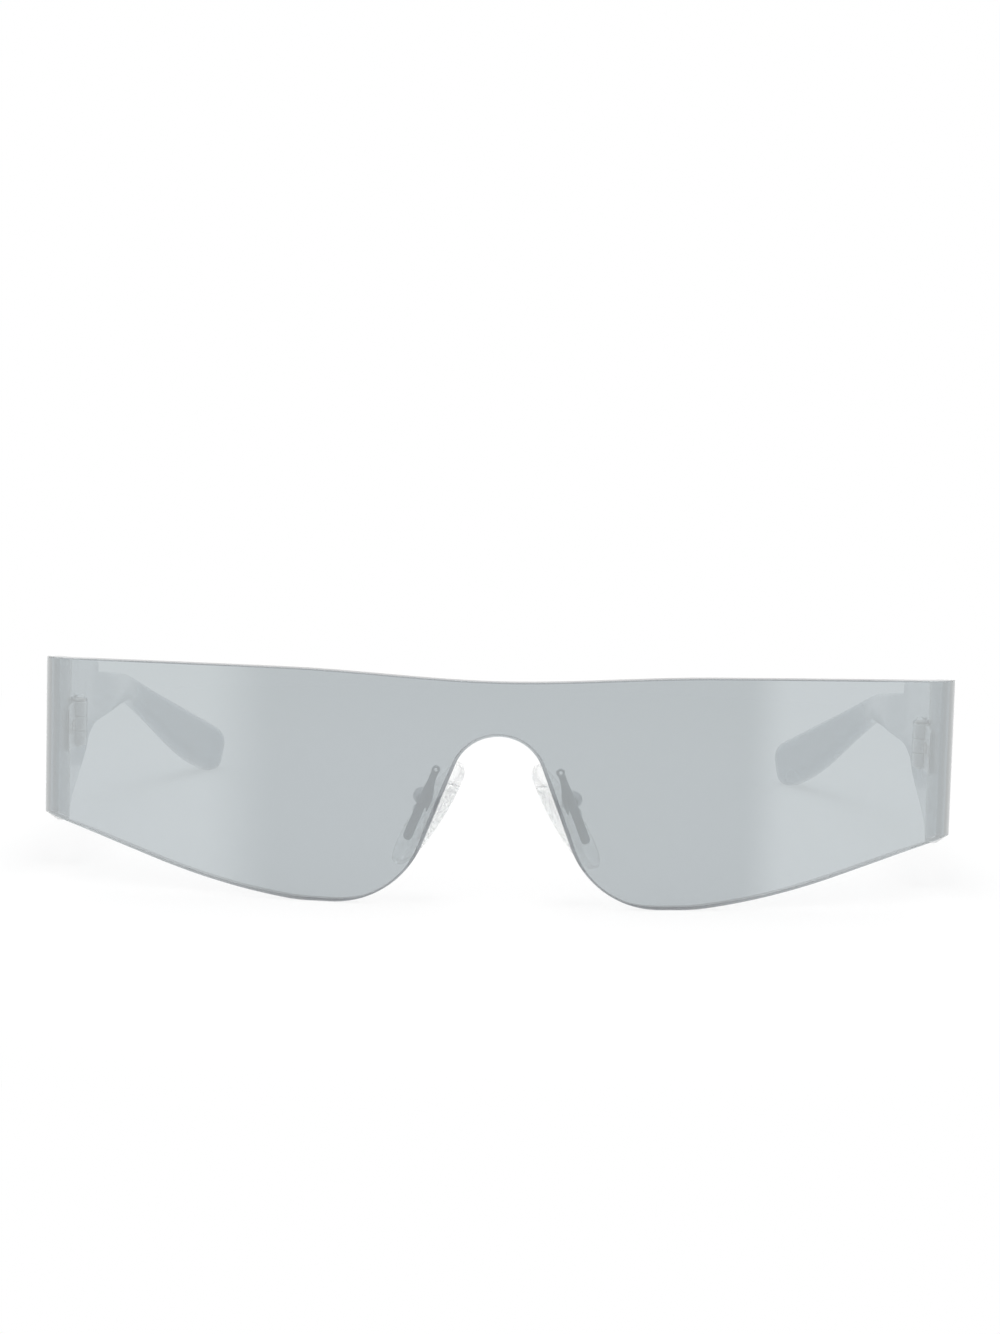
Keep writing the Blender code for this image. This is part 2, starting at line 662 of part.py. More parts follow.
def pivot(name, origin, parent):
    """An empty on a joint's axis."""
    empty = bpy.data.objects.new(name, None)
    bpy.context.scene.collection.objects.link(empty)
    empty.parent = parent
    empty.location = Vector(origin)
    empty.empty_display_size = PIVOT_MARK_SIZE
    return empty


# The shield


def shield_bmesh():
    """The wrapped shield: one upright strip per column on each face, and its four edges."""
    right_half = shield_columns()
    left_half = [(-low_run, low, -top_run, top) for low_run, low, top_run, top in right_half[:0:-1]]
    columns = left_half + right_half
    points = []
    for low_run, low, top_run, top in columns:
        for run, height in ((low_run, low), (top_run, top)):
            for depth in (0.0, LENS_THICKNESS):
                x, y, _ = shield_plan(run, depth)
                points.append((float(x), float(y), height))
    faces = []
    for index in range(len(columns) - 1):
        here, there = index * 4, (index + 1) * 4
        faces.append((here, there, there + 2, here + 2))
        faces.append((here + 1, here + 3, there + 3, there + 1))
        faces.append((here + 2, there + 2, there + 3, here + 3))
        faces.append((here, here + 1, there + 1, there))
    faces.append((0, 2, 3, 1))
    last = (len(columns) - 1) * 4
    faces.append((last, last + 1, last + 3, last + 2))
    return new_bmesh_from(points, faces)


def polished_edges(thing):
    """A narrow chamfer round the cut edge of the shield."""
    bevel = thing.modifiers.new("edge_polish", "BEVEL")
    bevel.limit_method = "ANGLE"
    bevel.angle_limit = POLISH_ANGLE
    bevel.width = EDGE_POLISH
    bevel.segments = 1


def make_shield(parent, material):
    """The one-piece lens, with blind holes on its back for the hinge screws and the bracket pegs."""
    shield = piece("shield_lens", shield_bmesh(), LEFT, (0.0, 0.0, 0.0), parent, material)
    polished_edges(shield)
    for side in (LEFT, RIGHT):
        for index, frame in enumerate(front_screw_frames()):
            bore = cylinder(
                LEAF_SCREW_RADIUS + SCREW_CLEARANCE,
                -LEAF_SCREW_BITE - SCREW_END_GAP,
                LEAF_SEAT_GAP / 2,
                SMALL_SIDES,
                frame,
            )
            boolean(shield, bore, f"shield_screw_bore_{index}_{SIDE_NAMES[side]}", side, parent)
        for index, frame in enumerate(peg_frames()):
            bore = cylinder(
                PEG_RADIUS + PEG_CLEARANCE,
                -PEG_SEAT_DEPTH - PEG_CLEARANCE,
                BRACKET_SEAT_GAP / 2,
                SMALL_SIDES,
                frame,
            )
            boolean(shield, bore, f"shield_peg_bore_{index}_{SIDE_NAMES[side]}", side, parent)
    return shield


# The hinges


def leaf_frame(toe):
    """A hinge leaf's frame on the fold axis: first axis away from the axis, second inwards, third up."""
    return axes_frame(
        (FOLD_X, FOLD_Y, 0.0),
        (-math.sin(toe), math.cos(toe), 0.0),
        (-math.cos(toe), -math.sin(toe), 0.0),
        (0.0, 0.0, 1.0),
    )


def front_leaf_frame():
    """The front leaf runs forwards, so its frame is turned half round."""
    frame = leaf_frame(RETURN_TOE)
    return axes_frame(frame.translation, -frame.col[0].xyz, frame.col[1].xyz, frame.col[2].xyz)


def leaf_outline():
    """The side outline of a leaf plate, away from the axis and up, with its free corners rounded."""
    rounded = rounded_outline((0.0, HINGE_LOW), (LEAF_LENGTH, HINGE_HIGH), LEAF_CORNER, LEAF_CORNER_STEPS)
    upper, lower = rounded[:LEAF_CORNER_STEPS], rounded[-LEAF_CORNER_STEPS:]
    return upper + [(0.0, HINGE_HIGH), (0.0, HINGE_LOW)] + lower


def leaf_plate(frame):
    """A leaf plate: a flat strip whose outer face is level with the knuckles' outer side."""
    side_frame = axes_frame(frame.translation, frame.col[0].xyz, frame.col[2].xyz, frame.col[1].xyz)
    return prism(leaf_outline(), -KNUCKLE_RADIUS, -KNUCKLE_RADIUS + LEAF_THICKNESS, side_frame)


def knuckle_spans():
    """The heights of the three knuckles, from below."""
    spans = []
    for index in range(3):
        low = HINGE_LOW + index * (KNUCKLE_HEIGHT + KNUCKLE_GAP)
        spans.append((low, low + KNUCKLE_HEIGHT))
    return spans


def leaf_screw_spots():
    """Where the two screws of a leaf stand, as distances from the fold axis."""
    return (LEAF_LENGTH * LEAF_SCREW_FORE_SHARE, LEAF_LENGTH * LEAF_SCREW_AFT_SHARE)


def screw_frames(frame, seat):
    """Frames of a leaf's two screws: third axis inwards, with its zero on the face that they bite."""
    frames = []
    for spot in leaf_screw_spots():
        origin = frame @ Vector((spot, -KNUCKLE_RADIUS - seat, HINGE_MID_HEIGHT))
        frames.append(axes_frame(origin, frame.col[0].xyz, frame.col[2].xyz, frame.col[1].xyz))
    return frames


def front_screw_frames():
    """The screws of the front leaf, which bite the inner face of the shield's return."""
    return screw_frames(front_leaf_frame(), LEAF_SEAT_GAP)


def temple_screw_frames():
    """The screws of the temple leaf, which bite the panel."""
    return screw_frames(leaf_frame(TEMPLE_TOE), LEAF_SEAT_GAP)


def make_leaf(name, frame, own_knuckles, screw_places, side, origin, parent, material, fixed_parent):
    """A hinge leaf: its plate, its knuckles with their bore, and its screw holes."""
    leaf = piece(name, leaf_plate(frame), side, origin, parent, material)
    spans = knuckle_spans()
    axis = axes_frame((FOLD_X, FOLD_Y, 0.0), (1.0, 0.0, 0.0), (0.0, 1.0, 0.0), (0.0, 0.0, 1.0))
    for index in (0, 1, 2):
        low, high = spans[index]
        if index in own_knuckles:
            barrel = cylinder(KNUCKLE_RADIUS, low, high, ROUND_SIDES, axis)
            boolean(leaf, barrel, f"{name}_barrel_{index}", side, fixed_parent, "UNION")
            continue
        room = cylinder(
            KNUCKLE_RADIUS + KNUCKLE_GAP, low - KNUCKLE_GAP, high + KNUCKLE_GAP, ROUND_SIDES, axis
        )
        boolean(leaf, room, f"{name}_room_{index}", side, fixed_parent)
    bore = cylinder(HINGE_BORE_RADIUS, HINGE_LOW - OVERRUN, HINGE_HIGH + OVERRUN, ROUND_SIDES, axis)
    boolean(leaf, bore, f"{name}_bore", side, fixed_parent)
    for index, place in enumerate(screw_places):
        hole = cylinder(
            LEAF_SCREW_RADIUS + SCREW_CLEARANCE, -OVERRUN, LEAF_THICKNESS + OVERRUN, SMALL_SIDES, place
        )
        boolean(leaf, hole, f"{name}_hole_{index}", side, fixed_parent)
    return leaf


def slotted(thing, name, frame, top, side, parent):
    """A screwdriver slot across a screw's head."""
    reach = HINGE_SCREW_HEAD_RADIUS + OVERRUN
    half = SLOT_WIDTH / 2
    slot = block((-reach, -half, top - SLOT_DEPTH), (reach, half, top + OVERRUN), frame)
    boolean(thing, slot, f"{name}_slot", side, parent)


def make_leaf_screw(name, frame, side, origin, parent, material, fixed_parent):
    """A small screw through a leaf, with its head on the leaf's inner face."""
    seat = LEAF_SEAT_GAP + LEAF_THICKNESS + SCREW_CLEARANCE / 2
    top = seat + LEAF_SCREW_HEAD_HEIGHT
    profile = [
        (LEAF_SCREW_RADIUS * SCREW_POINT_SHARE, -LEAF_SCREW_BITE),
        (LEAF_SCREW_RADIUS, -LEAF_SCREW_BITE * SCREW_POINT_START_SHARE),
        (LEAF_SCREW_RADIUS, seat),
        (LEAF_SCREW_HEAD_RADIUS, seat),
        (LEAF_SCREW_HEAD_RADIUS, top - LEAF_SCREW_HEAD_HEIGHT * HEAD_CHAMFER_SHARE),
        (LEAF_SCREW_HEAD_RADIUS * HEAD_TOP_SHARE, top),
    ]
    screw = piece(name, turned(profile, SMALL_SIDES, frame), side, origin, parent, material)
    slotted(screw, name, frame, top, side, fixed_parent)
    return screw


def make_hinge_screw(name, side, parent, material):
    """The screw that the temple folds about, let in from above."""
    frame = axes_frame((FOLD_X, FOLD_Y, 0.0), (1.0, 0.0, 0.0), (0.0, 1.0, 0.0), (0.0, 0.0, 1.0))
    seat = HINGE_HIGH + KNUCKLE_GAP
    top = seat + HINGE_SCREW_HEAD_HEIGHT
    profile = [
        (HINGE_SCREW_RADIUS * HINGE_SCREW_POINT_SHARE, HINGE_LOW - HINGE_SCREW_TAIL),
        (HINGE_SCREW_RADIUS, HINGE_LOW),
        (HINGE_SCREW_RADIUS, seat),
        (HINGE_SCREW_HEAD_RADIUS, seat),
        (HINGE_SCREW_HEAD_RADIUS, top - HINGE_SCREW_HEAD_HEIGHT * HEAD_CHAMFER_SHARE),
        (HINGE_SCREW_HEAD_RADIUS * HINGE_HEAD_TOP_SHARE, top),
    ]
    origin = (FOLD_X, FOLD_Y, HINGE_MID_HEIGHT)
    screw = piece(name, turned(profile, ROUND_SIDES, frame), side, origin, parent, material)
    slotted(screw, name, frame, top, side, parent)
    return screw


# The temples


def temple_side_frame():
    """The flat inner side of the panel: first axis back along it, second up, third inwards."""
    _, points, along, outward = temple_spine(PADDLE_DROP)
    rise = np.cross(outward[0], along[0])
    return axes_frame(points[0], along[0], rise, -outward[0])


def wedge_outline():
    """The wedge's outline on the inner side of the panel, back along its top and forward along its rim."""
    reach, height = PANEL_LENGTH, SEAM_HEIGHT
    upper = [(share * reach, -drop * height) for share, drop in WEDGE_TOP_SHARES]
    lower = [(share * reach, -drop * height) for share, drop in WEDGE_RIM_SHARES]
    upper[0] = (SEAM_GAP, upper[0][1])
    lower[-1] = (SEAM_GAP, lower[-1][1])
    return upper + lower


def make_temple(side, pivot_empty, fixed_parent, material):
    """A moulded temple: panel, arm, ear bend and tip in one, with the wedge and the hinge's pockets."""
    name = f"temple_{SIDE_NAMES[side]}"
    bm = loft(temple_rings(PADDLE_DROP))
    geometry = list(bm.verts) + list(bm.edges) + list(bm.faces)
    cut = bmesh.ops.bisect_plane(
        bm, geom=geometry, plane_co=(0.0, 0.0, 0.0), plane_no=(0.0, 0.0, -1.0), clear_outer=True
    )
    rim = [item for item in cut["geom_cut"] if isinstance(item, bmesh.types.BMEdge)]
    bmesh.ops.edgeloop_fill(bm, edges=rim)
    bmesh.ops.recalc_face_normals(bm, faces=bm.faces)
    temple = piece(name, bm, side, (FOLD_X, FOLD_Y, HINGE_MID_HEIGHT), pivot_empty, material)
    inner_side = temple_side_frame()
    wedge = prism(wedge_outline(), PANEL_THICKNESS - WEDGE_EMBED, ARM_THICKNESS, inner_side)
    boolean(temple, wedge, f"{name}_wedge", side, fixed_parent, "UNION")
    frame = leaf_frame(TEMPLE_TOE)
    room = KNUCKLE_POCKET_GAP
    pocket = block(
        (-KNUCKLE_RADIUS - room, -KNUCKLE_RADIUS - LEAF_SEAT_GAP, HINGE_LOW - room),
        (LEAF_LENGTH + room, KNUCKLE_RADIUS + ARM_THICKNESS, HINGE_HIGH + room),
        frame,
    )
    boolean(temple, pocket, f"{name}_leaf_pocket", side, fixed_parent)
    axis = axes_frame((FOLD_X, FOLD_Y, 0.0), (1.0, 0.0, 0.0), (0.0, 1.0, 0.0), (0.0, 0.0, 1.0))
    head_room = HINGE_SCREW_HEAD_HEIGHT + KNUCKLE_GAP + room
    barrel_room = cylinder(
        KNUCKLE_RADIUS + room, HINGE_LOW - HINGE_SCREW_TAIL - room, HINGE_HIGH + head_room, ROUND_SIDES, axis
    )
    boolean(temple, barrel_room, f"{name}_barrel_pocket", side, fixed_parent)
    for index, place in enumerate(temple_screw_frames()):
        bore = cylinder(
            LEAF_SCREW_RADIUS + SCREW_CLEARANCE,
            -LEAF_SCREW_BITE - SCREW_END_GAP,
            LEAF_SEAT_GAP + OVERRUN,
            SMALL_SIDES,
            place,
        )
        boolean(temple, bore, f"{name}_screw_bore_{index}", side, fixed_parent)
    return temple


# The nose brackets


def bracket_frame():
    """The bracket's frame on the shield's back: inboard, up along its tilt, and back from the lens."""
    run = front_run_at(BRACKET_REACH)
    x, y, angle = (float(value) for value in shield_plan(run, LENS_THICKNESS))
    inboard = Vector((-math.cos(angle), -math.sin(angle), 0.0))
    back = Vector((-math.sin(angle), math.cos(angle), 0.0))
    up = Vector((0.0, 0.0, 1.0))
    first = inboard * math.cos(BRACKET_TILT) - up * math.sin(BRACKET_TILT)
    second = up * math.cos(BRACKET_TILT) + inboard * math.sin(BRACKET_TILT)
    return axes_frame((x, y, BRACKET_MID_HEIGHT), first, second, back)


def half_turn(centre, radius, start, steps):
    """Half a circle, as points."""
    points = []
    for share in np.linspace(0.0, 1.0, steps):
        angle = start + math.pi * share
        points.append((centre[0] + radius * math.cos(angle), centre[1] + radius * math.sin(angle)))
    return points


def bracket_outline():
    """The stamped outline: an eyelet on a neck, a wider body with one short finger, and a bar below."""
    neck, bar = NECK_HALF_WIDTH, BAR_HALF_WIDTH
    eyelet_turn = math.asin(neck / EYELET_RADIUS)
    eyelet = []
    for share in np.linspace(0.0, 1.0, EYELET_STEPS):
        angle = -math.pi / 2 + eyelet_turn + (2 * math.pi - 2 * eyelet_turn) * share
        eyelet.append((EYELET_RADIUS * math.cos(angle), STRIP_UPPER_LENGTH + EYELET_RADIUS * math.sin(angle)))
    outboard = [
        (-neck, BODY_UPPER_HEIGHT),
        (-BODY_OUTBOARD, BODY_UPPER_HEIGHT / 3),
        (-BODY_OUTBOARD, -BODY_LOWER_HEIGHT / 2),
        (-bar, -BODY_LOWER_HEIGHT),
    ]
    lower_end = half_turn((0.0, -STRIP_LOWER_LENGTH), bar, math.pi, BAR_END_STEPS)
    inboard = [
        (bar, -BODY_LOWER_HEIGHT + FINGER_NOTCH),
        (bar + FINGER_NOTCH / 2, -BODY_LOWER_HEIGHT + FINGER_NOTCH),
        (bar + FINGER_NOTCH / 2, -BODY_LOWER_HEIGHT),
        (BODY_INBOARD * BODY_CORNER_SHARE, -BODY_LOWER_HEIGHT),
        (BODY_INBOARD, -BODY_LOWER_HEIGHT / 2),
        (BODY_INBOARD * BODY_CORNER_SHARE, BODY_UPPER_HEIGHT / 3),
        (BODY_INBOARD * SHOULDER_WIDTH_SHARE, BODY_UPPER_HEIGHT * SHOULDER_HEIGHT_SHARE),
        (neck, BODY_UPPER_HEIGHT * NECK_FOOT_SHARE),
    ]
    return eyelet + outboard + lower_end + inboard


def peg_frames():
    """The two pegs of a bracket, in its eyelet and in its lower end, measured from the lens's back."""
    frame = bracket_frame()
    frames = []
    for height in (STRIP_UPPER_LENGTH, -STRIP_LOWER_LENGTH):
        origin = frame @ Vector((0.0, height, 0.0))
        frames.append(axes_frame(origin, frame.col[0].xyz, frame.col[1].xyz, frame.col[2].xyz))
    return frames


def make_bracket(side, parent, material):
    """The bracket's plate, flat on the lens, with a hole for each peg."""
    name = f"nose_bracket_{SIDE_NAMES[side]}"
    frame = bracket_frame()
    plate = prism(bracket_outline(), BRACKET_SEAT_GAP, BRACKET_SEAT_GAP + BRACKET_THICKNESS, frame)
    bracket = piece(name, plate, side, frame.translation, parent, material)
    for index, place in enumerate(peg_frames()):
        hole = cylinder(
            PEG_RADIUS + PEG_CLEARANCE,
            BRACKET_SEAT_GAP - OVERRUN,
            BRACKET_SEAT_GAP + BRACKET_THICKNESS + OVERRUN,
            SMALL_SIDES,
            place,
        )
        boolean(bracket, hole, f"{name}_hole_{index}", side, parent)
    return bracket


def make_peg(name, frame, side, parent, material):
    """A peg glued into the lens and headed over behind the bracket."""
    seat = BRACKET_SEAT_GAP + BRACKET_THICKNESS + PEG_CLEARANCE
    top = seat + PEG_HEAD_HEIGHT
    profile = [
        (PEG_RADIUS, -PEG_SEAT_DEPTH),
        (PEG_RADIUS, seat),
        (PEG_HEAD_RADIUS, seat),
        (PEG_HEAD_RADIUS, top - PEG_HEAD_HEIGHT / 2),
        (PEG_HEAD_RADIUS * PEG_CROWN_SHARE, top),
    ]
    return piece(name, turned(profile, SMALL_SIDES, frame), side, frame.translation, parent, material)


# The pads


def pad_frame():
    """The pad's frame on its screw: first axis outboard of the pad, second back along the screw, third up."""
    setback = bracket_frame() @ Vector((-BOX_OUTBOARD, 0.0, BOX_SETBACK))
    centre = setback - Vector((0.0, 0.0, BOX_DROP))
    turn = Euler((0.0, -PAD_TILT, 0.0)).to_matrix() @ Euler((0.0, 0.0, -PAD_SPLAY)).to_matrix()
    return axes_frame(centre, turn.col[0], turn.col[1], turn.col[2])


def screw_line_frame():
    """The pad screw's frame: its third axis lies along the screw."""
    frame = pad_frame()
    return axes_frame(frame.translation, frame.col[2].xyz, frame.col[0].xyz, frame.col[1].xyz)


def make_pad_box(side, parent, material):
    """The round box that holds the pad's tab: a short drum, slotted open on the pad's side."""
    name = f"pad_box_{SIDE_NAMES[side]}"
    along, frame = screw_line_frame(), pad_frame()
    half = BOX_LENGTH / 2
    round_edge = BOX_RADIUS * BOX_EDGE_SHARE
    profile = [
        (BOX_RADIUS - round_edge, -half),
        (BOX_RADIUS, -half + round_edge),
        (BOX_RADIUS, half - round_edge),
        (BOX_RADIUS - round_edge, half),
    ]
    box = piece(name, turned(profile, ROUND_SIDES, along), side, frame.translation, parent, material)
    slot_half = BOX_SLOT_WIDTH / 2
    slot = block(
        (-BOX_RADIUS - OVERRUN, -slot_half, -BOX_SLOT_HALF_HEIGHT),
        (BOX_RADIUS - BOX_BACK_WALL, slot_half, BOX_SLOT_HALF_HEIGHT),
        frame,
    )
    boolean(box, slot, f"{name}_slot", side, parent)
    radius = PAD_SCREW_RADIUS + PAD_SCREW_CLEARANCE
    bore = cylinder(radius, -half - OVERRUN, half + OVERRUN, SMALL_SIDES, along)
    boolean(box, bore, f"{name}_bore", side, parent)
    return box


def make_pad_screw(side, parent, material):
    """The screw through the box and the tab, which the pad rocks about."""
    name = f"pad_screw_{SIDE_NAMES[side]}"
    along = screw_line_frame()
    half = BOX_LENGTH / 2
    seat = half + PAD_SCREW_CLEARANCE
    top = seat + PAD_SCREW_HEAD_HEIGHT
    profile = [
        (PAD_SCREW_RADIUS, -half),
        (PAD_SCREW_RADIUS, seat),
        (PAD_SCREW_HEAD_RADIUS, seat),
        (PAD_SCREW_HEAD_RADIUS, top - PAD_SCREW_HEAD_HEIGHT / 2),
        (PAD_SCREW_HEAD_RADIUS * HEAD_TOP_SHARE, top),
    ]
    screw = piece(name, turned(profile, SMALL_SIDES, along), side, along.translation, parent, material)
    slotted(screw, name, along, top, side, parent)
    return screw


def make_pad_arm(side, parent, material):
    """The bent wire that stands on the back of the bracket's bar and carries the box from below."""
    name = f"pad_arm_{SIDE_NAMES[side]}"
    plate, box = bracket_frame(), pad_frame()
    start_depth = BRACKET_SEAT_GAP + BRACKET_THICKNESS + PAD_ARM_SEAT_GAP
    foot_height = -BODY_LOWER_HEIGHT - PAD_ARM_RADIUS * 2
    seat = BOX_RADIUS + PAD_ARM_SEAT_GAP
    corners = [
        plate @ Vector((0.0, foot_height, start_depth)),
        plate @ Vector((0.0, foot_height, start_depth + PAD_ARM_RADIUS * 2)),
        plate @ Vector((-BOX_OUTBOARD / 2, foot_height - PAD_ARM_RADIUS, BOX_SETBACK * ARM_SETBACK_SHARE)),
        box @ Vector((0.0, 0.0, -seat - PAD_ARM_RADIUS * ARM_ENTRY_SHARE)),
        box @ Vector((0.0, 0.0, -seat)),
    ]
    route = smooth_route(corners, ROUTE_STEPS)
    return piece(name, wire(route, PAD_ARM_RADIUS, WIRE_SIDES), side, plate.translation, parent, material)


def smooth_route(corners, steps):
    """A smooth line through points: a cubic between each pair, with its slope from the neighbours."""
    padded = [corners[0] * 2 - corners[1]] + corners + [corners[-1] * 2 - corners[-2]]
    route = []
    for index in range(1, len(padded) - 2):
        before, start, end, after = padded[index - 1:index + 3]
        for share in np.linspace(0.0, 1.0, steps, endpoint=False):
            t = float(share)
            bend = (start * 2 + (end - before) * t) / 2
            bend += (before * 2 - start * 5 + end * 4 - after) * t * t / 2
            bend += (start * 3 - before - end * 3 + after) * t * t * t / 2
            route.append(bend)
    route.append(corners[-1])
    return route


def wire(route, radius, sides):
    """A round wire along a route, with flat square ends."""
    rings = []
    side = None
    for index, point in enumerate(route):
        before = route[max(index - 1, 0)]
        after = route[min(index + 1, len(route) - 1)]
        forward = (after - before).normalized()
        if side is None:
            side = forward.orthogonal().normalized()
        side = (side - forward * side.dot(forward)).normalized()
        across = forward.cross(side)
        ring = []
        for corner in range(sides):
            angle = 2 * math.pi * corner / sides
            ring.append(point + side * radius * math.cos(angle) + across * radius * math.sin(angle))
        rings.append(ring)
    return loft(rings)


def pad_outline(scale, steps):
    """The pad's egg-shaped outline, as (back, up) points, a little fuller below."""
    points = []
    for index in range(steps):
        angle = 2 * math.pi * index / steps
        up = math.sin(angle)
        half_width = PAD_WIDTH / 2 * (1.0 - PAD_WAIST_SHARE * up) * scale
        points.append((half_width * math.cos(angle), (PAD_LENGTH / 2 - (1.0 - scale) * PAD_WIDTH / 2) * up))
    return points


def pad_back_depth():
    """How far the pad's flat back lies from the pad screw."""
    return BOX_RADIUS + PAD_BOX_GAP


def pad_bmesh():
    """The silicone pad: flat on its back, with a low wall and a crowned face towards the nose."""
    frame = pad_frame()
    back = pad_back_depth()
    wall = back + PAD_RIM_HEIGHT * PAD_WALL_SHARE
    layers = [(PAD_BACK_SHARE, back), (1.0, wall), (1.0, back + PAD_RIM_HEIGHT)]
    crown = PAD_THICKNESS - PAD_RIM_HEIGHT
    for share in PAD_CROWN_SHARES:
        layers.append(((1.0 - share**2) ** PAD_CROWN_FULLNESS, back + PAD_RIM_HEIGHT + crown * share))
    layers.append((PAD_TOP_SHARE, back + PAD_THICKNESS))
    rings = []
    for scale, depth in layers:
        outline = pad_outline(scale, PAD_SIDES)
        rings.append([frame @ Vector((-depth, a, b - PAD_DROP)) for a, b in outline])
    return loft(rings)


def core_block(clearance):
    """The pad's hard core: a thin plate inside the silicone, grown by a clearance for its pocket."""
    frame = pad_frame()
    centre = frame @ Vector((0.0, 0.0, -PAD_DROP))
    face = axes_frame(centre, frame.col[1].xyz, frame.col[2].xyz, -frame.col[0].xyz)
    near = pad_back_depth() + CORE_DEPTH
    half_width, half_length = CORE_WIDTH / 2 + clearance, CORE_LENGTH / 2 + clearance
    low, high = (-half_width, -half_length), (half_width, half_length)
    outline = rounded_outline(low, high, half_width * CORE_CORNER_SHARE, CORE_CORNER_STEPS)
    return prism(outline, near - clearance, near + CORE_THICKNESS + clearance, face)


def tab_block(clearance, into_core):
    """The tab on the core, which passes out of the pad's back into the box."""
    frame = pad_frame()
    half_width = BOX_SLOT_WIDTH / 2 - TAB_GAP
    deep = pad_back_depth() + CORE_DEPTH + into_core
    return block(
        (-deep, -half_width - clearance, -TAB_HALF_HEIGHT - clearance),
        (TAB_PAST_SCREW + clearance, half_width + clearance, TAB_HALF_HEIGHT + clearance),
        frame,
    )


def make_pad_core(side, pivot_empty, fixed_parent, material):
    """The core: plate and tab in one, with the tab's hole for the pad screw."""
    name = f"pad_core_{SIDE_NAMES[side]}"
    frame = pad_frame()
    core = piece(name, core_block(0.0), side, frame.translation, pivot_empty, material)
    boolean(core, tab_block(0.0, CORE_THICKNESS / 2), f"{name}_tab", side, fixed_parent, "UNION")
    half = BOX_LENGTH / 2
    radius = PAD_SCREW_RADIUS + PAD_SCREW_CLEARANCE
    bore = cylinder(radius, -half, half, SMALL_SIDES, screw_line_frame())
    boolean(core, bore, f"{name}_bore", side, fixed_parent)
    return core


def make_nose_pad(side, pivot_empty, fixed_parent, material):
    """The soft pad, with a pocket for the core and an opening at its back for the tab."""
    name = f"nose_pad_{SIDE_NAMES[side]}"
    frame = pad_frame()
    pad = piece(name, pad_bmesh(), side, frame.translation, pivot_empty, material)
    boolean(pad, core_block(CORE_CLEARANCE), f"{name}_pocket", side, fixed_parent)
    boolean(pad, tab_block(CORE_CLEARANCE, CORE_CLEARANCE), f"{name}_mouth", side, fixed_parent)
    return pad


# The whole pair


def clear_scene():
    """Removes whatever the scene holds."""
    for thing in list(bpy.data.objects):
        bpy.data.objects.remove(thing, do_unlink=True)


def make_materials():
    """The finishes, by the part that wears them."""
    return {
        "mirror_lens": principled("mirror_coated_polycarbonate", (0.53, 0.57, 0.60), 0.35, 0.06, 0.45),
        "temple": principled("silver_grey_nylon", (0.42, 0.46, 0.50), 0.25, 0.32),
        "hinge": principled("nickel_silver", (0.50, 0.50, 0.49), 1.0, 0.28),
        "screw": principled("stainless_steel", (0.60, 0.60, 0.60), 1.0, 0.22),
        "bracket": principled("gunmetal_steel", (0.23, 0.26, 0.29), 1.0, 0.34),
        "core": principled("clear_polycarbonate", (0.86, 0.88, 0.88), 0.0, 0.12, 0.8),
        "pad": principled("clear_silicone", (0.84, 0.86, 0.86), 0.0, 0.35, 0.7),
    }


def make_front_side(side, root, materials):
    """Everything on one side of the shield that stays with it."""
    word = SIDE_NAMES[side]
    fold_origin = (FOLD_X, FOLD_Y, HINGE_MID_HEIGHT)
    make_leaf(
        f"hinge_front_leaf_{word}", front_leaf_frame(), (1,), front_screw_frames(),
        side, fold_origin, root, materials["hinge"], root,
    )
    make_hinge_screw(f"hinge_screw_{word}", side, root, materials["screw"])
    for place, frame in zip(("aft", "fore"), front_screw_frames()):
        name = f"front_leaf_screw_{place}_{word}"
        make_leaf_screw(name, frame, side, frame.translation, root, materials["screw"], root)
    make_bracket(side, root, materials["bracket"])
    for place, frame in zip(("upper", "lower"), peg_frames()):
        make_peg(f"bracket_peg_{place}_{word}", frame, side, root, materials["screw"])
    make_pad_arm(side, root, materials["bracket"])
    make_pad_box(side, root, materials["bracket"])
    make_pad_screw(side, root, materials["screw"])


def make_moving_side(side, root, materials):
    """The temple and the nose pad of one side, each under an empty on its joint's axis."""
    word = SIDE_NAMES[side]
    fold = pivot(f"temple_{word}_pivot", (FOLD_X * side, FOLD_Y, HINGE_MID_HEIGHT), root)
    fold_origin = (FOLD_X, FOLD_Y, HINGE_MID_HEIGHT)
    make_temple(side, fold, root, materials["temple"])
    make_leaf(
        f"hinge_temple_leaf_{word}", leaf_frame(TEMPLE_TOE), (0, 2), temple_screw_frames(),
        side, fold_origin, fold, materials["hinge"], root,
    )
    for place, frame in zip(("fore", "aft"), temple_screw_frames()):
        name = f"temple_leaf_screw_{place}_{word}"
        make_leaf_screw(name, frame, side, frame.translation, fold, materials["screw"], root)
    centre = pad_frame().translation
    rock = pivot(f"pad_{word}_pivot", (centre.x * side, centre.y, centre.z), root)
    make_pad_core(side, rock, root, materials["core"])
    make_nose_pad(side, rock, root, materials["pad"])


def main():
    """Builds the pair."""
    clear_scene()
    materials = make_materials()
    root = bpy.data.objects.new("sunglasses", None)
    bpy.context.scene.collection.objects.link(root)
    root.location = (0.0, -OVERALL_DEPTH / 2, 0.0)
    make_shield(root, materials["mirror_lens"])
    for side in (LEFT, RIGHT):
        make_front_side(side, root, materials)
        make_moving_side(side, root, materials)


main()
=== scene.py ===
"""Studio scene of a pair of rimless one-piece shield sunglasses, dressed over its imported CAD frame.

Lengths are in metres. Every form is worked out in the front frame of the glasses, whose Y is zero at
the foremost point of the shield, and is then carried back by one offset to the row frame. Left and
right are the wearer's, so left is +X, and a right form is the left one mirrored across X.
"""

import logging
import math
from collections.abc import Sequence
from dataclasses import dataclass, field
from enum import Enum

import bmesh
import bpy
import numpy as np
from mathutils import Matrix, Vector


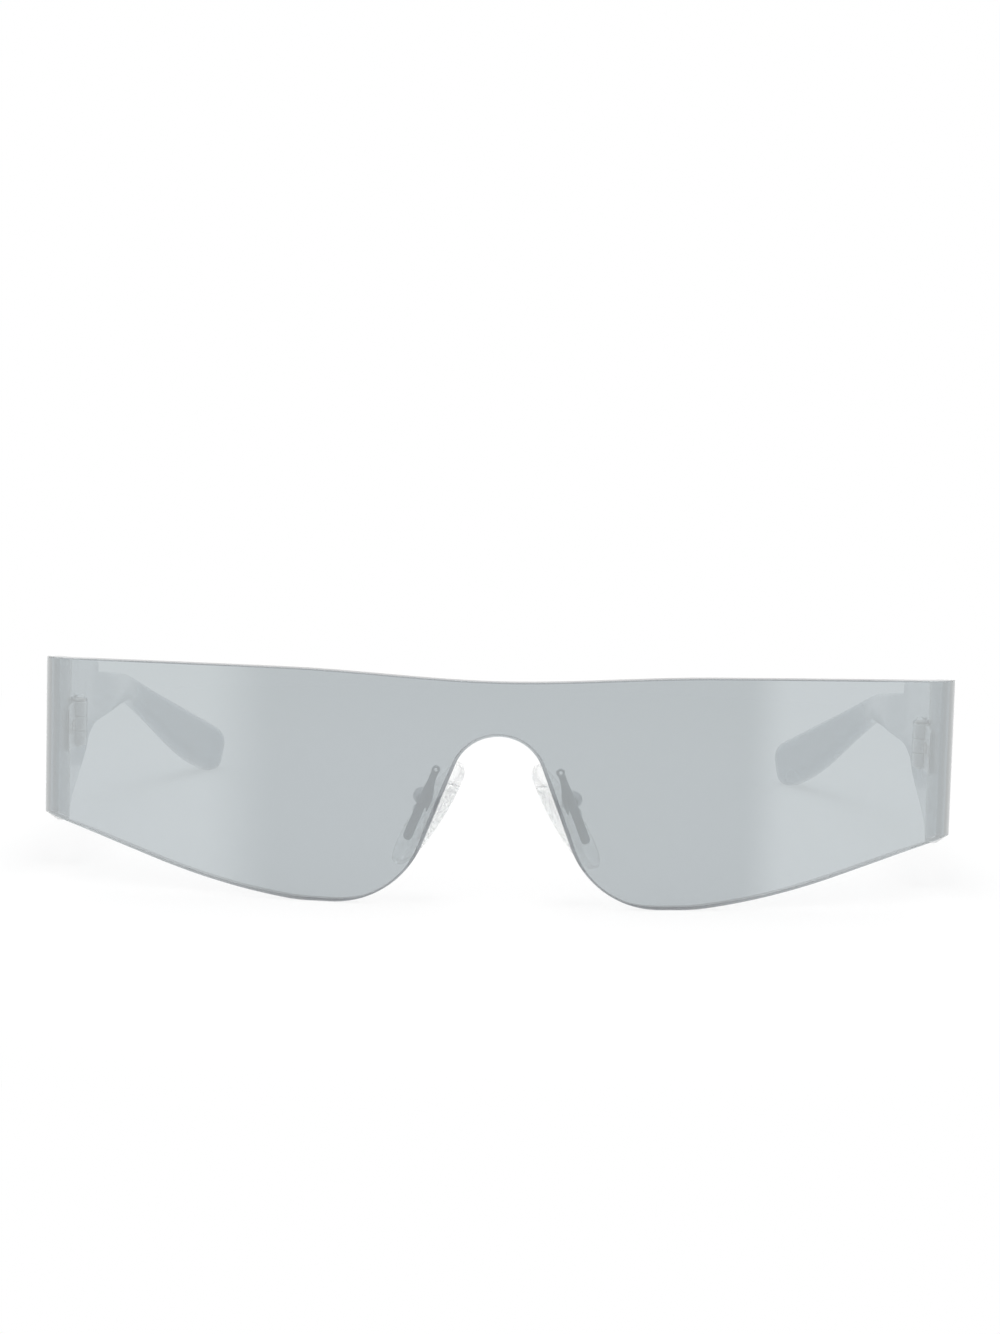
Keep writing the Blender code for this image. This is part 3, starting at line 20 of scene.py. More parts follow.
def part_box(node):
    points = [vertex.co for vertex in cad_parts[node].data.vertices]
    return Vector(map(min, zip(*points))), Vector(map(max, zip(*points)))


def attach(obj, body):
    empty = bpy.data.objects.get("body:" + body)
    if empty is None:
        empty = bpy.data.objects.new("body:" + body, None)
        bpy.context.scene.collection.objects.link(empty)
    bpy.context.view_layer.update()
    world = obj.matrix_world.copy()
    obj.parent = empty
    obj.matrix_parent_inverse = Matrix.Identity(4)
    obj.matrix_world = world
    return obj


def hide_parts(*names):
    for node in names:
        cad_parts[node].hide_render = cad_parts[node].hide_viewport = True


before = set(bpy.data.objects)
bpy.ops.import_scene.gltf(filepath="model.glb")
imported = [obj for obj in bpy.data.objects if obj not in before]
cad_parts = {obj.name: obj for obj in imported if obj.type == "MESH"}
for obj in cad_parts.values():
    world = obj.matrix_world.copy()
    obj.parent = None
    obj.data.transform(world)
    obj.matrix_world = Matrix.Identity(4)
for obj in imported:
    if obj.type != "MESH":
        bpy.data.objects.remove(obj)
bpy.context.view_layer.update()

log = logging.getLogger("sunglasses")

MM = 0.001
QUARTER = math.pi / 2
FRONT_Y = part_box("shield_lens")[0].y

# Points closer than MERGE become one, and TINY keeps a division by a length safe
MERGE = 0.001 * MM
TINY = 1e-9 * MM

# Edges that turn by more than a crease angle stay sharp
SOFT_CREASE = math.radians(38.0)
HARD_CREASE = math.radians(30.0)

# The values of a noise lie mostly in this span
NOISE_SPAN = (0.3, 0.7)
WHITE = "#FFFFFF"

# Rows of two numbers, such as a place and the value there
Table = tuple[tuple[float, float], ...]


class Side(Enum):
    """The wearer's two sides, by the sign of X."""

    LEFT = 1
    RIGHT = -1

    @property
    def word(self) -> str:
        """The side's name, as the nodes spell it."""
        return self.name.lower()


# Shapes as whole arrays


def smoothstep(value: np.ndarray) -> np.ndarray:
    """An S-shaped blend: 3 v squared less 2 v cubed, held between 0 and 1."""
    value = np.clip(value, 0.0, 1.0)
    return value * value * (3.0 - 2.0 * value)


def quarter_turn(steps: int) -> np.ndarray:
    """Angles from 0 to a right angle."""
    return np.linspace(0.0, QUARTER, steps)


def circle(turn: np.ndarray, radius: float = 1.0) -> np.ndarray:
    """Points of a circle at each angle: radius times cosine, and radius times sine."""
    return radius * np.stack([np.cos(turn), np.sin(turn)], axis=-1)


def whole_circle(sides: int, radius: float = 1.0) -> np.ndarray:
    """Points all round a circle."""
    return circle(np.linspace(0.0, 2.0 * math.pi, sides, endpoint=False), radius)


def bowl(radius: float, turn: np.ndarray | float) -> np.ndarray:
    """An arc from its lowest point: radius times sine across, and radius times 1 - cosine up."""
    return radius * np.stack([np.sin(turn), 1.0 - np.cos(turn)], axis=-1)


def through(places: Sequence, values: Sequence, at: np.ndarray) -> np.ndarray:
    """A cubic through points whose slope is the harmonic mean of its neighbours' slopes.

    Args:
        places: where the points stand, rising.
        values: the height of each point.
        at: where the curve is read.

    Returns:
        The curve's height at each place asked for.
    """
    places, values = np.asarray(places, float), np.asarray(values, float)
    slope = np.diff(values) / np.diff(places)
    product, total = slope[:-1] * slope[1:], slope[:-1] + slope[1:]
    mean = np.where(product > 0.0, 2.0 * product / np.where(total == 0.0, 1.0, total), 0.0)
    tangent = np.concatenate([slope[:1], mean, slope[-1:]])
    index = np.clip(np.searchsorted(places, at, side="right") - 1, 0, len(slope) - 1)
    width = places[index + 1] - places[index]
    part = np.clip((at - places[index]) / width, 0.0, 1.0)
    rise = part * (1.0 - part) ** 2 * tangent[index] - part**2 * (1.0 - part) * tangent[index + 1]
    blend = smoothstep(part)
    return values[index] * (1.0 - blend) + values[index + 1] * blend + width * rise


@dataclass
class Skin:
    """Points, four-sided faces and end caps of one closed form, before it becomes a mesh."""

    points: np.ndarray
    quads: np.ndarray
    caps: list[np.ndarray] = field(default_factory=list)
    groups: np.ndarray | None = None


def lofted(rings: np.ndarray, capped: bool = True) -> Skin:
    """A skin over rings of points: face (i, j) joins ring i to i + 1 between points j and j + 1.

    Args:
        rings: an array of ring, point and coordinate, each ring closed on itself.
        capped: whether one flat face closes each end.

    Returns:
        The closed skin.
    """
    count, around = rings.shape[:2]
    index = np.arange(count * around).reshape(count, around)
    after = np.roll(index, -1, axis=1)
    quads = np.stack([index[:-1], after[:-1], after[1:], index[1:]], axis=-1).reshape(-1, 4)
    return Skin(rings.reshape(-1, 3), quads, [index[0][::-1], index[-1]] if capped else [])


def carried(points: np.ndarray, axes: Matrix) -> np.ndarray:
    """Points of a local frame, carried to the front frame by that frame's axes and origin."""
    matrix = np.array(axes)
    return points @ matrix[:3, :3].T + matrix[:3, 3]


def axes_at(origin: Sequence, first: Sequence, second: Sequence, third: Sequence) -> Matrix:
    """A frame from its origin and its three axes.

    Args:
        origin: where the frame stands.
        first: the frame's first axis, a unit vector.
        second: its second axis.
        third: its third axis.

    Returns:
        The frame, as a matrix that carries its points to the front frame.
    """
    return Matrix([*zip(first, second, third, origin), (0.0, 0.0, 0.0, 1.0)])


def turned(profile: Sequence, axes: Matrix, sides: int = 48, capped: bool = True) -> Skin:
    """A turned form: each (radius, height) of the profile swept as a circle about the third axis.

    Args:
        profile: radii and heights, from one end to the other.
        axes: the form's frame.
        sides: points round each circle.
        capped: whether one flat face closes each end.

    Returns:
        The turned skin.
    """
    radius, height = np.array(profile, float).T[..., None, None]
    ring = radius * whole_circle(sides)
    level = np.broadcast_to(height, (*ring.shape[:2], 1))
    return lofted(carried(np.concatenate([ring, level], axis=-1), axes), capped)


def outward_normals(outline: np.ndarray) -> np.ndarray:
    """Outward unit normals of a closed flat outline: its central tangent turned by a right angle.

    Args:
        outline: the outline, as rows of two coordinates.

    Returns:
        One normal for each point.
    """
    after = np.roll(outline, -1, axis=0)
    tangent = after - np.roll(outline, 1, axis=0)
    tangent /= np.maximum(np.linalg.norm(tangent, axis=1, keepdims=True), TINY)
    area = np.sum(outline[:, 0] * after[:, 1] - outline[:, 1] * after[:, 0])
    return np.stack([tangent[:, 1], -tangent[:, 0]], axis=1) * np.sign(area)


def softened(outline: np.ndarray, radius: float, steps: int = 5) -> np.ndarray:
    """A closed outline with each corner replaced by a quadratic curve that starts a radius before it.

    Args:
        outline: the corners, as rows of two coordinates.
        radius: how far from the corner the curve starts, held to two fifths of the shorter side.
        steps: points on each curve.

    Returns:
        The softened outline.
    """
    before, after = np.roll(outline, 1, axis=0) - outline, np.roll(outline, -1, axis=0) - outline
    back, ahead = np.linalg.norm(before, axis=1), np.linalg.norm(after, axis=1)
    reach = np.minimum(radius, 0.4 * np.minimum(back, ahead))[:, None]
    start, end = outline + before / back[:, None] * reach, outline + after / ahead[:, None] * reach
    t = np.linspace(0.0, 1.0, steps)[None, :, None]
    curve = start[:, None] * (1 - t) ** 2 + 2 * outline[:, None] * t * (1 - t) + end[:, None] * t**2
    return curve.reshape(-1, 2)


def rounded_outline(reach: tuple[float, float], half_height: float, radius: float,
                    steps: int) -> np.ndarray:
    """A rectangle with round corners: a quarter circle about each corner's centre.

    Args:
        reach: where it starts and ends on the first axis.
        half_height: how far it goes to both sides on the second.
        radius: the radius of its corners.
        steps: points on each corner.

    Returns:
        The outline, as rows of two coordinates.
    """
    low, high = np.array([reach[0], -half_height]), np.array([reach[1], half_height])
    signs = np.array([(1, 1), (-1, 1), (-1, -1), (1, -1)])
    turn = quarter_turn(steps)[None] + np.arange(4)[:, None] * QUARTER
    corners = (high + low) / 2 + signs * ((high - low) / 2 - radius)
    return (corners[:, None] + circle(turn, radius)).reshape(-1, 2)


def plate(outline: np.ndarray, low: float, high: float, edge: float, axes: Matrix) -> Skin:
    """A plate whose rim is rounded: the outline drawn in by edge times 1 - sine, over a quarter turn.

    Args:
        outline: the plate's outline in the first two axes.
        low: where the plate starts on the third axis.
        high: where it ends.
        edge: the radius of its rounded rim.
        axes: the plate's frame.

    Returns:
        The closed plate.
    """
    turn = quarter_turn(4)
    inset = np.concatenate([edge * (1 - np.sin(turn)), edge * (1 - np.sin(turn[::-1]))])
    height = np.concatenate([low + edge * (1 - np.cos(turn)), high - edge * (1 - np.cos(turn[::-1]))])
    flat = outline[None] - inset[:, None, None] * outward_normals(outline)[None]
    level = np.broadcast_to(height[:, None, None], (*flat.shape[:2], 1))
    return lofted(carried(np.concatenate([flat, level], axis=-1), axes))


def tube(route: np.ndarray, radius: float, sides: int = 28) -> Skin:
    """A round wire: circles square to a route that is nowhere upright, each with one level diameter.

    Args:
        route: the wire's middle line.
        radius: the wire's radius.
        sides: points round each circle.

    Returns:
        The closed wire.
    """
    tangent = np.gradient(route, axis=0)
    tangent /= np.linalg.norm(tangent, axis=1, keepdims=True)
    across = np.cross(tangent, (0.0, 0.0, 1.0))
    across /= np.linalg.norm(across, axis=1, keepdims=True)
    ring = whole_circle(sides, radius)[None]
    return lofted(route[:, None] + across[:, None] * ring[..., :1]
                  + np.cross(tangent, across)[:, None] * ring[..., 1:])


def spline(corners: np.ndarray, steps: int) -> np.ndarray:
    """A line through points: each cubic takes half the chord of its neighbours as its slope.

    Args:
        corners: the points, in order.
        steps: points on each cubic.

    Returns:
        The line's points.
    """
    padded = np.concatenate([2 * corners[:1] - corners[1:2], corners, 2 * corners[-1:] - corners[-2:-1]])
    before, start, end, after = (padded[shift:len(padded) - 3 + shift, None] for shift in range(4))
    t = np.linspace(0.0, 1.0, steps, endpoint=False)[None, :, None]
    line = start + (end - before) * t / 2 + (2 * before - 5 * start + 4 * end - after) * t**2 / 2
    line = line + (3 * start - before - 3 * end + after) * t**3 / 2
    return np.concatenate([line.reshape(-1, 3), corners[-1:]])


# Pieces


def made(name: str, skins: list[Skin], side: Side = Side.LEFT,
         crease: float = SOFT_CREASE) -> bpy.types.Object:
    """One object from closed skins of the front frame, with smooth faces and creases where they turn.

    Args:
        name: the piece's name.
        skins: its closed forms.
        side: RIGHT mirrors the left form across X.
        crease: the angle past which an edge stays sharp.

    Returns:
        The object, at the origin, with its place in its mesh.
    """
    points, faces, groups, start = [], [], [], 0
    for skin in skins:
        faces += (skin.quads + start).tolist() + [(cap + start).tolist() for cap in skin.caps]
        group = np.zeros(len(skin.quads), int) if skin.groups is None else skin.groups
        groups += group.tolist() + [int(group[-1])] * len(skin.caps)
        points.append(skin.points)
        start += len(skin.points)
    place = np.concatenate(points) * [side.value, 1.0, 1.0] + [0.0, FRONT_Y, 0.0]
    mesh = bpy.data.meshes.new(name)
    mesh.from_pydata(place.tolist(), [], faces)
    mesh.polygons.foreach_set("material_index", groups)
    bm = bmesh.new()
    bm.from_mesh(mesh)
    bmesh.ops.remove_doubles(bm, verts=bm.verts, dist=MERGE)
    bmesh.ops.recalc_face_normals(bm, faces=bm.faces)
    bm.to_mesh(mesh)
    bm.free()
    mesh.shade_smooth()
    mesh.set_sharp_from_angle(angle=crease)
    thing = bpy.data.objects.new(name, mesh)
    bpy.context.scene.collection.objects.link(thing)
    return thing


def settled(piece: bpy.types.Object, finish: bpy.types.Material, body: str, node: str) -> None:
    """Dresses a piece, puts it on its body and in place of its node, and reports it.

    Args:
        piece: the finished piece.
        finish: its material.
        body: the CAD body it rides on.
        node: the CAD node it stands for.
    """
    piece.data.materials.append(finish)
    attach(piece, body)
    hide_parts(node)
    log.info("%s rides on %s for %s, %d faces", piece.name, body, node, len(piece.data.polygons))


# Finishes


def linear(code: str) -> tuple[float, ...]:
    """An sRGB hex colour as linear light, by the sRGB curve: a straight foot, then a power of 2.4.

    Args:
        code: the colour, as #RRGGBB.

    Returns:
        Linear red, green, blue and alpha.
    """
    values = np.array([int(code[place:place + 2], 16) for place in (1, 3, 5)]) / 255.0
    light = np.where(values <= 0.04045, values / 12.92, ((values + 0.055) / 1.055) ** 2.4)
    return (*light.tolist(), 1.0)


class Wiring:
    """The node tree of a material or a world, and the steps that several of them need."""

    def __init__(self, owner: bpy.types.Material | bpy.types.World) -> None:
        """Empties the owner's tree.

        Args:
            owner: the material or the world.
        """
        owner.use_nodes = True
        self.tree = owner.node_tree
        self.tree.nodes.clear()

    def add(self, kind: str, values: dict | None = None, links: dict | None = None,
            **settings: str) -> bpy.types.Node:
        """Adds a node.

        Args:
            kind: the node's type, without its first words.
            values: what its own sockets hold.
            links: the output socket that feeds each input.
            settings: the node's properties.

        Returns:
            The node.
        """
        node = self.tree.nodes.new("ShaderNode" + kind)
        for key, value in settings.items():
            setattr(node, key, value)
        for key, value in (values or {}).items():
            node.inputs[key].default_value = value
        for key, source in (links or {}).items():
            self.tree.links.new(source, node.inputs[key])
        return node

    def mapped(self, value: bpy.types.NodeSocket, reach: tuple[float, float],
               span: tuple[float, float] = (0.0, 1.0), curve: str = "LINEAR") -> bpy.types.NodeSocket:
        """Maps a span of values onto another.

        Args:
            value: the value that is mapped.
            reach: what the two ends of the span become.
            span: the span of values.
            curve: how it runs between them, LINEAR or SMOOTHSTEP.

        Returns:
            The mapped value.
        """
        ends = {"From Min": span[0], "From Max": span[1], "To Min": reach[0], "To Max": reach[1]}
        return self.add("MapRange", ends, {"Value": value}, interpolation_type=curve).outputs["Result"]

    def ramp(self, value: bpy.types.NodeSocket, span: tuple[float, float],
             reach: tuple[float, float] = (0.0, 1.0)) -> bpy.types.NodeSocket:
        """Runs S-shaped over a span of values, from 0 to 1 unless another reach is given."""
        return self.mapped(value, reach, span, "SMOOTHSTEP")

    def maths(self, operation: str, first: bpy.types.NodeSocket,
              second: bpy.types.NodeSocket | float | None = None) -> bpy.types.NodeSocket:
        """Does arithmetic on one or two values.

        Args:
            operation: the operation's name.
            first: the first value.
            second: the second one, as a socket or as a number, if the operation has one.

        Returns:
            The result.
        """
        number = isinstance(second, float)
        links = {0: first} if number or second is None else {0: first, 1: second}
        return self.add("Math", {1: second} if number else None, links, operation=operation).outputs[0]


class Recipe(Wiring):
    """A material with one Principled shader, and the patterns that the finishes make for it."""

    def __init__(self, name: str, scale: tuple[float, float, float] = (1.0, 1.0, 1.0),
                 **sockets: float) -> None:
        """Sets up the shader and the piece's own coordinates in metres.

        Args:
            name: the real material and how it was made.
            scale: how far the coordinates are stretched along each axis.
            sockets: the shader's values, with underscores for the spaces in their names.
        """
        self.material = bpy.data.materials.new(name)
        super().__init__(self.material)
        values = {key.replace("_", " "): value for key, value in sockets.items()}
        self.shader = self.add("BsdfPrincipled", values)
        self.output = self.add("OutputMaterial", links={"Surface": self.shader.outputs["BSDF"]})
        own = self.add("TexCoord").outputs["Object"]
        self.place = self.add("Mapping", {"Scale": scale}, {"Vector": own}).outputs["Vector"]

    def feed(self, socket: str, source: bpy.types.NodeSocket) -> None:
        """Feeds one of the shader's sockets."""
        self.tree.links.new(source, self.shader.inputs[socket])

    def noise(self, size: float, detail: float) -> bpy.types.NodeSocket:
        """A cloudy noise whose clouds have a real size in metres."""
        values = {"Scale": 1.0 / size, "Detail": detail}
        return self.add("TexNoise", values, {"Vector": self.place}).outputs["Fac"]

    def cells(self, size: float) -> bpy.types.Node:
        """A pattern of cells with a real size in metres."""
        return self.add("TexVoronoi", {"Scale": 1.0 / size}, {"Vector": self.place})

    def blend(self, low: str, high: str, factor: bpy.types.NodeSocket) -> bpy.types.NodeSocket:
        """A colour between two, by a factor from 0 to 1."""
        values = {"A": linear(low), "B": linear(high)}
        return self.add("Mix", values, {"Factor": factor}, data_type="RGBA").outputs["Result"]

    def grain(self, height: bpy.types.NodeSocket, strength: float, depth: float) -> None:
        """Roughens the surface by a height pattern of a depth in metres."""
        bump = self.add("Bump", {"Strength": strength, "Distance": depth}, {"Height": height})
        self.feed("Normal", bump.outputs["Normal"])


@dataclass(frozen=True)
class MirrorShield:
    """Grey moulded polycarbonate with a flash mirror coat on its outer face and a satin cut edge.

    Half of the light comes back from the coat, and the rest passes through the grey tint.
    """

    coat: str = "#EEF2F4"
    coat_drift: str = "#ECF1F1"
    coat_share: float = 0.5
    share_drift: float = 0.006
    cut_edge: str = "#A6A8AA"
    cut_clear: float = 0.5
    least_cut: float = 0.08
    tint: str = "#8C9EAA"
    tint_density: float = 423.0
    polish: tuple[float, float] = (0.012, 0.024)
    haze_span: tuple[float, float] = (0.3, 0.8)
    drift: float = 40.0 * MM
    streak: float = 5.5 * MM

    def build(self) -> bpy.types.Material:
        """A part metal shader over a clear one, by the piece's own coat attribute, with painted shade on the
        cut edges and the tint inside.

        Returns:
            The material of the shield.
        """
        recipe = Recipe("flash_mirror_polycarbonate_polished", IOR=1.58)
        # The film drifts in thickness over some 40 mm, which shifts its blue a little
        drift = recipe.noise(self.drift, 2.0)
        cut, coat = (
            recipe.add("Attribute", attribute_name=name).outputs["Fac"] for name in ("cut", "coat")
        )
        # The cut attribute mixes in the satin grey of the cut edge by a tone that is painted shade, varying
        # along the edges
        toned = recipe.add("Mix", {"B": linear(self.cut_edge)}, {
            "Factor": cut, "A": recipe.blend(self.coat, self.coat_drift, drift),
        }, data_type="RGBA")
        recipe.feed("Base Color", toned.outputs["Result"])
        # The cut faces are satin, so they scatter part of the light instead of leading it down the wall
        clear = recipe.mapped(cut, (1.0, self.cut_clear), (0.0, self.least_cut))
        recipe.feed("Transmission Weight", clear)
        shares = (self.coat_share - self.share_drift, self.coat_share + self.share_drift)
        share = recipe.mapped(drift, shares, NOISE_SPAN)
        recipe.feed("Metallic", recipe.maths("MULTIPLY", share, coat))
        # Wiping leaves a haze in streaks a few millimetres long
        wipe = recipe.noise(self.streak, 4.0)
        recipe.feed("Roughness", recipe.mapped(wipe, self.polish, self.haze_span))
        # The tint takes light by the length of its way, so the wall is dark where it is seen end on
        body = recipe.add("VolumeAbsorption", {"Color": linear(self.tint), "Density": self.tint_density})
        recipe.tree.links.new(body.outputs["Volume"], recipe.output.inputs["Volume"])
        return recipe.material


@dataclass(frozen=True)
class SatinNylon:
    """Injection-moulded nylon with fine aluminium flake under a clear lacquer: a satin silver grey."""

    light: str = "#A1AEB9"
    dark: str = "#95A3AE"
    satin: tuple[float, float] = (0.21, 0.28)
    flake_share: float = 0.45
    flake: float = 0.35 * MM
    flow: float = 11.11 * MM
    mould: float = 0.4 * MM

    def build(self) -> bpy.types.Material:
        """The moulded temple: flake in its colour, flow marks and the fine texture of the mould.

        Returns:
            The material of the temples.
        """
        recipe = Recipe(
            "silver_nylon_moulded_lacquered", Metallic=0.45, IOR=1.53, Coat_Weight=0.8, Coat_Roughness=0.08,
        )
        # Flake is some 0.05 mm across and is drawn coarser, so that it shows
        flake = recipe.cells(self.flake).outputs["Color"]
        fleck = recipe.add("SeparateColor", links={"Color": flake}).outputs["Red"]
        flow = recipe.noise(self.flow, 3.0)
        mixed = recipe.add("Mix", {"Factor": self.flake_share}, {"A": flow, "B": fleck}, data_type="FLOAT")
        recipe.feed("Base Color", recipe.blend(self.dark, self.light, mixed.outputs["Result"]))
        recipe.feed("Roughness", recipe.mapped(flow, self.satin, NOISE_SPAN))
        recipe.grain(recipe.noise(self.mould, 2.0), 0.12, 0.02 * MM)
        return recipe.material


@dataclass(frozen=True)
class WorkedMetal:
    """A metal with fine drawn or brushed lines along one direction, bare or under a thin lacquer.

    The lines are some 0.02 mm apart on the real pieces and are drawn coarser, so that they show.
    """

    name: str
    light: str
    dark: str
    roughness: float
    grain: tuple[float, float, float] = (1.0, 1.0, 1.0)
    line: float = 0.12 * MM
    bare: float = 1.0

    def build(self) -> bpy.types.Material:
        """Streaks in colour, roughness and height, stretched along the grain.

        Returns:
            The metal's material.
        """
        stretch = tuple(part / self.line for part in self.grain)
        recipe = Recipe(self.name, stretch, Metallic=self.bare)
        streak = recipe.noise(1.0, 3.0)
        recipe.feed("Base Color", recipe.blend(self.dark, self.light, streak))
        roughness = (self.roughness * 0.85, self.roughness * 1.2)
        recipe.feed("Roughness", recipe.mapped(streak, roughness, NOISE_SPAN))
        recipe.grain(streak, 0.15, 0.01 * MM)
        return recipe.material


@dataclass(frozen=True)
class ClearMoulding:
    """Clear moulded polycarbonate with a faint milkiness and the grain of its mould.

    Most of the light passes straight through, as it does where a clear piece sits in clear silicone.
    """

    colour: str = "#F4F7F7"
    cloud_colour: str = "#FBFDFD"
    roughness: float = 0.08
    body: float = 0.12
    cloud: float = 2.5 * MM
    mould: float = 0.4 * MM

    def build(self) -> bpy.types.Material:
        """A clear body with a slightly uneven surface.

        Returns:
            The clear material.
        """
        recipe = Recipe("clear_polycarbonate_moulded", Transmission_Weight=0.97, IOR=1.58, Alpha=self.body)
        cloud = recipe.noise(self.cloud, 2.0)
        recipe.feed("Base Color", recipe.blend(self.colour, self.cloud_colour, cloud))
        roughness = (self.roughness * 0.8, self.roughness * 1.25)
        recipe.feed("Roughness", recipe.mapped(cloud, roughness, NOISE_SPAN))
        recipe.grain(recipe.noise(self.mould, 1.0), 0.1, 0.01 * MM)
        return recipe.material


@dataclass(frozen=True)
class StippledSilicone:
    """Very clear moulded silicone: a plain upper part, a line across, and a stippled grip below it."""

    colour: str = "#FBFCFC"
    haze: str = "#E9EDEC"
    body: float = 0.28
    grip_body: float = 0.36
    speck_body: float = 0.95
    cloud: float = 2.5 * MM
    speck: float = 0.5 * MM
    speck_edge: tuple[float, float] = (0.5, 0.3)
    grip_top: float = 17.9 * MM
    line: float = 0.25 * MM

    def build(self) -> bpy.types.Material:
        """Mostly light straight through, with more body at the specks and at the line above them.

        Returns:
            The material of the nose pads.
        """
        recipe = Recipe("clear_silicone_moulded", Transmission_Weight=0.85, IOR=1.41, Roughness=0.2)
        recipe.feed("Base Color", recipe.blend(self.haze, self.colour, recipe.noise(self.cloud, 2.0)))
        # The specks are the cores of a cell pattern, and only below the line
        distance = recipe.cells(self.speck).outputs["Distance"]
        speck = recipe.ramp(distance, self.speck_edge)
        height = recipe.add("SeparateXYZ", links={"Vector": recipe.place}).outputs["Z"]
        below = recipe.ramp(height, (self.grip_top, self.grip_top - self.line))
        away = recipe.maths("ABSOLUTE", recipe.maths("SUBTRACT", height, self.grip_top + self.line))
        across = recipe.ramp(away, (self.line, 0.0))
        marked = recipe.maths("MAXIMUM", recipe.maths("MULTIPLY", speck, below), across)
        body = recipe.add("MapRange", {"To Max": self.speck_body}, {
            "Value": marked, "To Min": recipe.mapped(below, (self.body, self.grip_body)),
        })
        recipe.feed("Alpha", body.outputs["Result"])
        return recipe.material


class Finishes:
    """Every finish of the sunglasses, built once."""

    def __init__(self) -> None:
        """Builds the finishes, each metal with the grain of the way it was worked."""
        self.mirror = MirrorShield().build()
        self.nylon = SatinNylon().build()
        self.bracket = WorkedMetal(
            "nickelled_steel_stamped", "#F2F5F8", "#E5EAEE", roughness=0.35, grain=(1.0, 1.0, 0.15),
            bare=0.75,
        ).build()
        self.box = WorkedMetal(
            "dark_nickelled_steel_turned", "#C2C8CE", "#B3B9C0", roughness=0.35, grain=(1.0, 0.15, 1.0),
        ).build()
        self.hinge = WorkedMetal(
            "lacquered_nickel_silver_brushed", "#E6E9EA", "#DADEE0", roughness=0.36, grain=(1.0, 0.12, 1.0),
            bare=0.35,
        ).build()
        self.screw = WorkedMetal(
            "stainless_steel_turned", "#D2D2D0", "#BDBDBC", roughness=0.22, line=0.05 * MM,
        ).build()
        self.silicone = StippledSilicone().build()
        self.clear = ClearMoulding().build()


# The shield


@dataclass
class ShieldPlan:
    """The shield seen from above: a long front arc, a tight corner and a straight return."""

    width: float = 146.99 * MM
    wall: float = 2.0 * MM
    base_radius: float = 220.0 * MM
    corner_radius: float = 6.0 * MM
    toe: float = math.radians(2.0)
    side_depth: float = 30.0 * MM
    seam_top: float = 34.3 * MM
    seam_low: float = 7.5 * MM
    seam_gap: float = 0.3 * MM
    lean: float = math.radians(8.0)

    def __post_init__(self) -> None:
        """Works out where the arc, the corner and the return end."""
        inner = self.base_radius - self.corner_radius
        self.corner_x = self.width / 2 - self.corner_radius
        self.half_angle = math.asin(self.corner_x / inner)
        self.corner_y = self.base_radius - inner * math.cos(self.half_angle)
        self.turn_end = QUARTER + self.toe
        self.front_x = self.base_radius * math.sin(self.half_angle)
        self.front_run = self.base_radius * self.half_angle
        self.corner_run = self.corner_radius * (self.turn_end - self.half_angle)
        bend_end = self.corner_y - self.corner_radius * math.cos(self.turn_end)
        self.return_run = (self.side_depth - bend_end) / math.cos(self.toe)
        self.seam_run = self.front_run + self.corner_run + self.return_run
        self.seam_middle = (self.seam_top + self.seam_low) / 2

    def at(self, run: np.ndarray | float, depth: np.ndarray | float = 0.0) -> tuple[np.ndarray, ...]:
        """Where a distance along the outer face lands, a depth behind that face.

        The arc turns by run over radius, the corner by run over its own radius, and the return runs
        straight; depth moves the point along the inward normal.

        Args:
            run: distances along the outer face from the middle.
            depth: how far behind the outer face.

        Returns:
            X, Y and the angle of the normal.
        """
        run, reach = np.asarray(run, float), np.abs(run)
        corner = np.minimum(self.half_angle + (reach - self.front_run) / self.corner_radius, self.turn_end)
        front = reach <= self.front_run
        angle = np.where(front, reach / self.base_radius, corner)
        past = np.maximum(reach - self.front_run - self.corner_run, 0.0)
        x = np.where(front, self.base_radius * np.sin(angle),
                     self.corner_x + self.corner_radius * np.sin(angle) - past * math.sin(self.toe))
        y = np.where(front, self.base_radius * (1.0 - np.cos(angle)),
                     self.corner_y - self.corner_radius * np.cos(angle) + past * math.cos(self.toe))
        return np.sign(run) * (x - depth * np.sin(angle)), y + depth * np.cos(angle), angle

    def run_at(self, x: np.ndarray | float) -> np.ndarray:
        """The distance along the outer face to a half-width on the front arc."""
        return self.base_radius * np.arcsin(np.asarray(x) / self.base_radius)

    def behind_seam(self, height: float) -> float:
        """How far the leaning seam lies behind its own middle at a height."""
        return (height - self.seam_middle) * math.tan(self.lean)


PLAN = ShieldPlan()


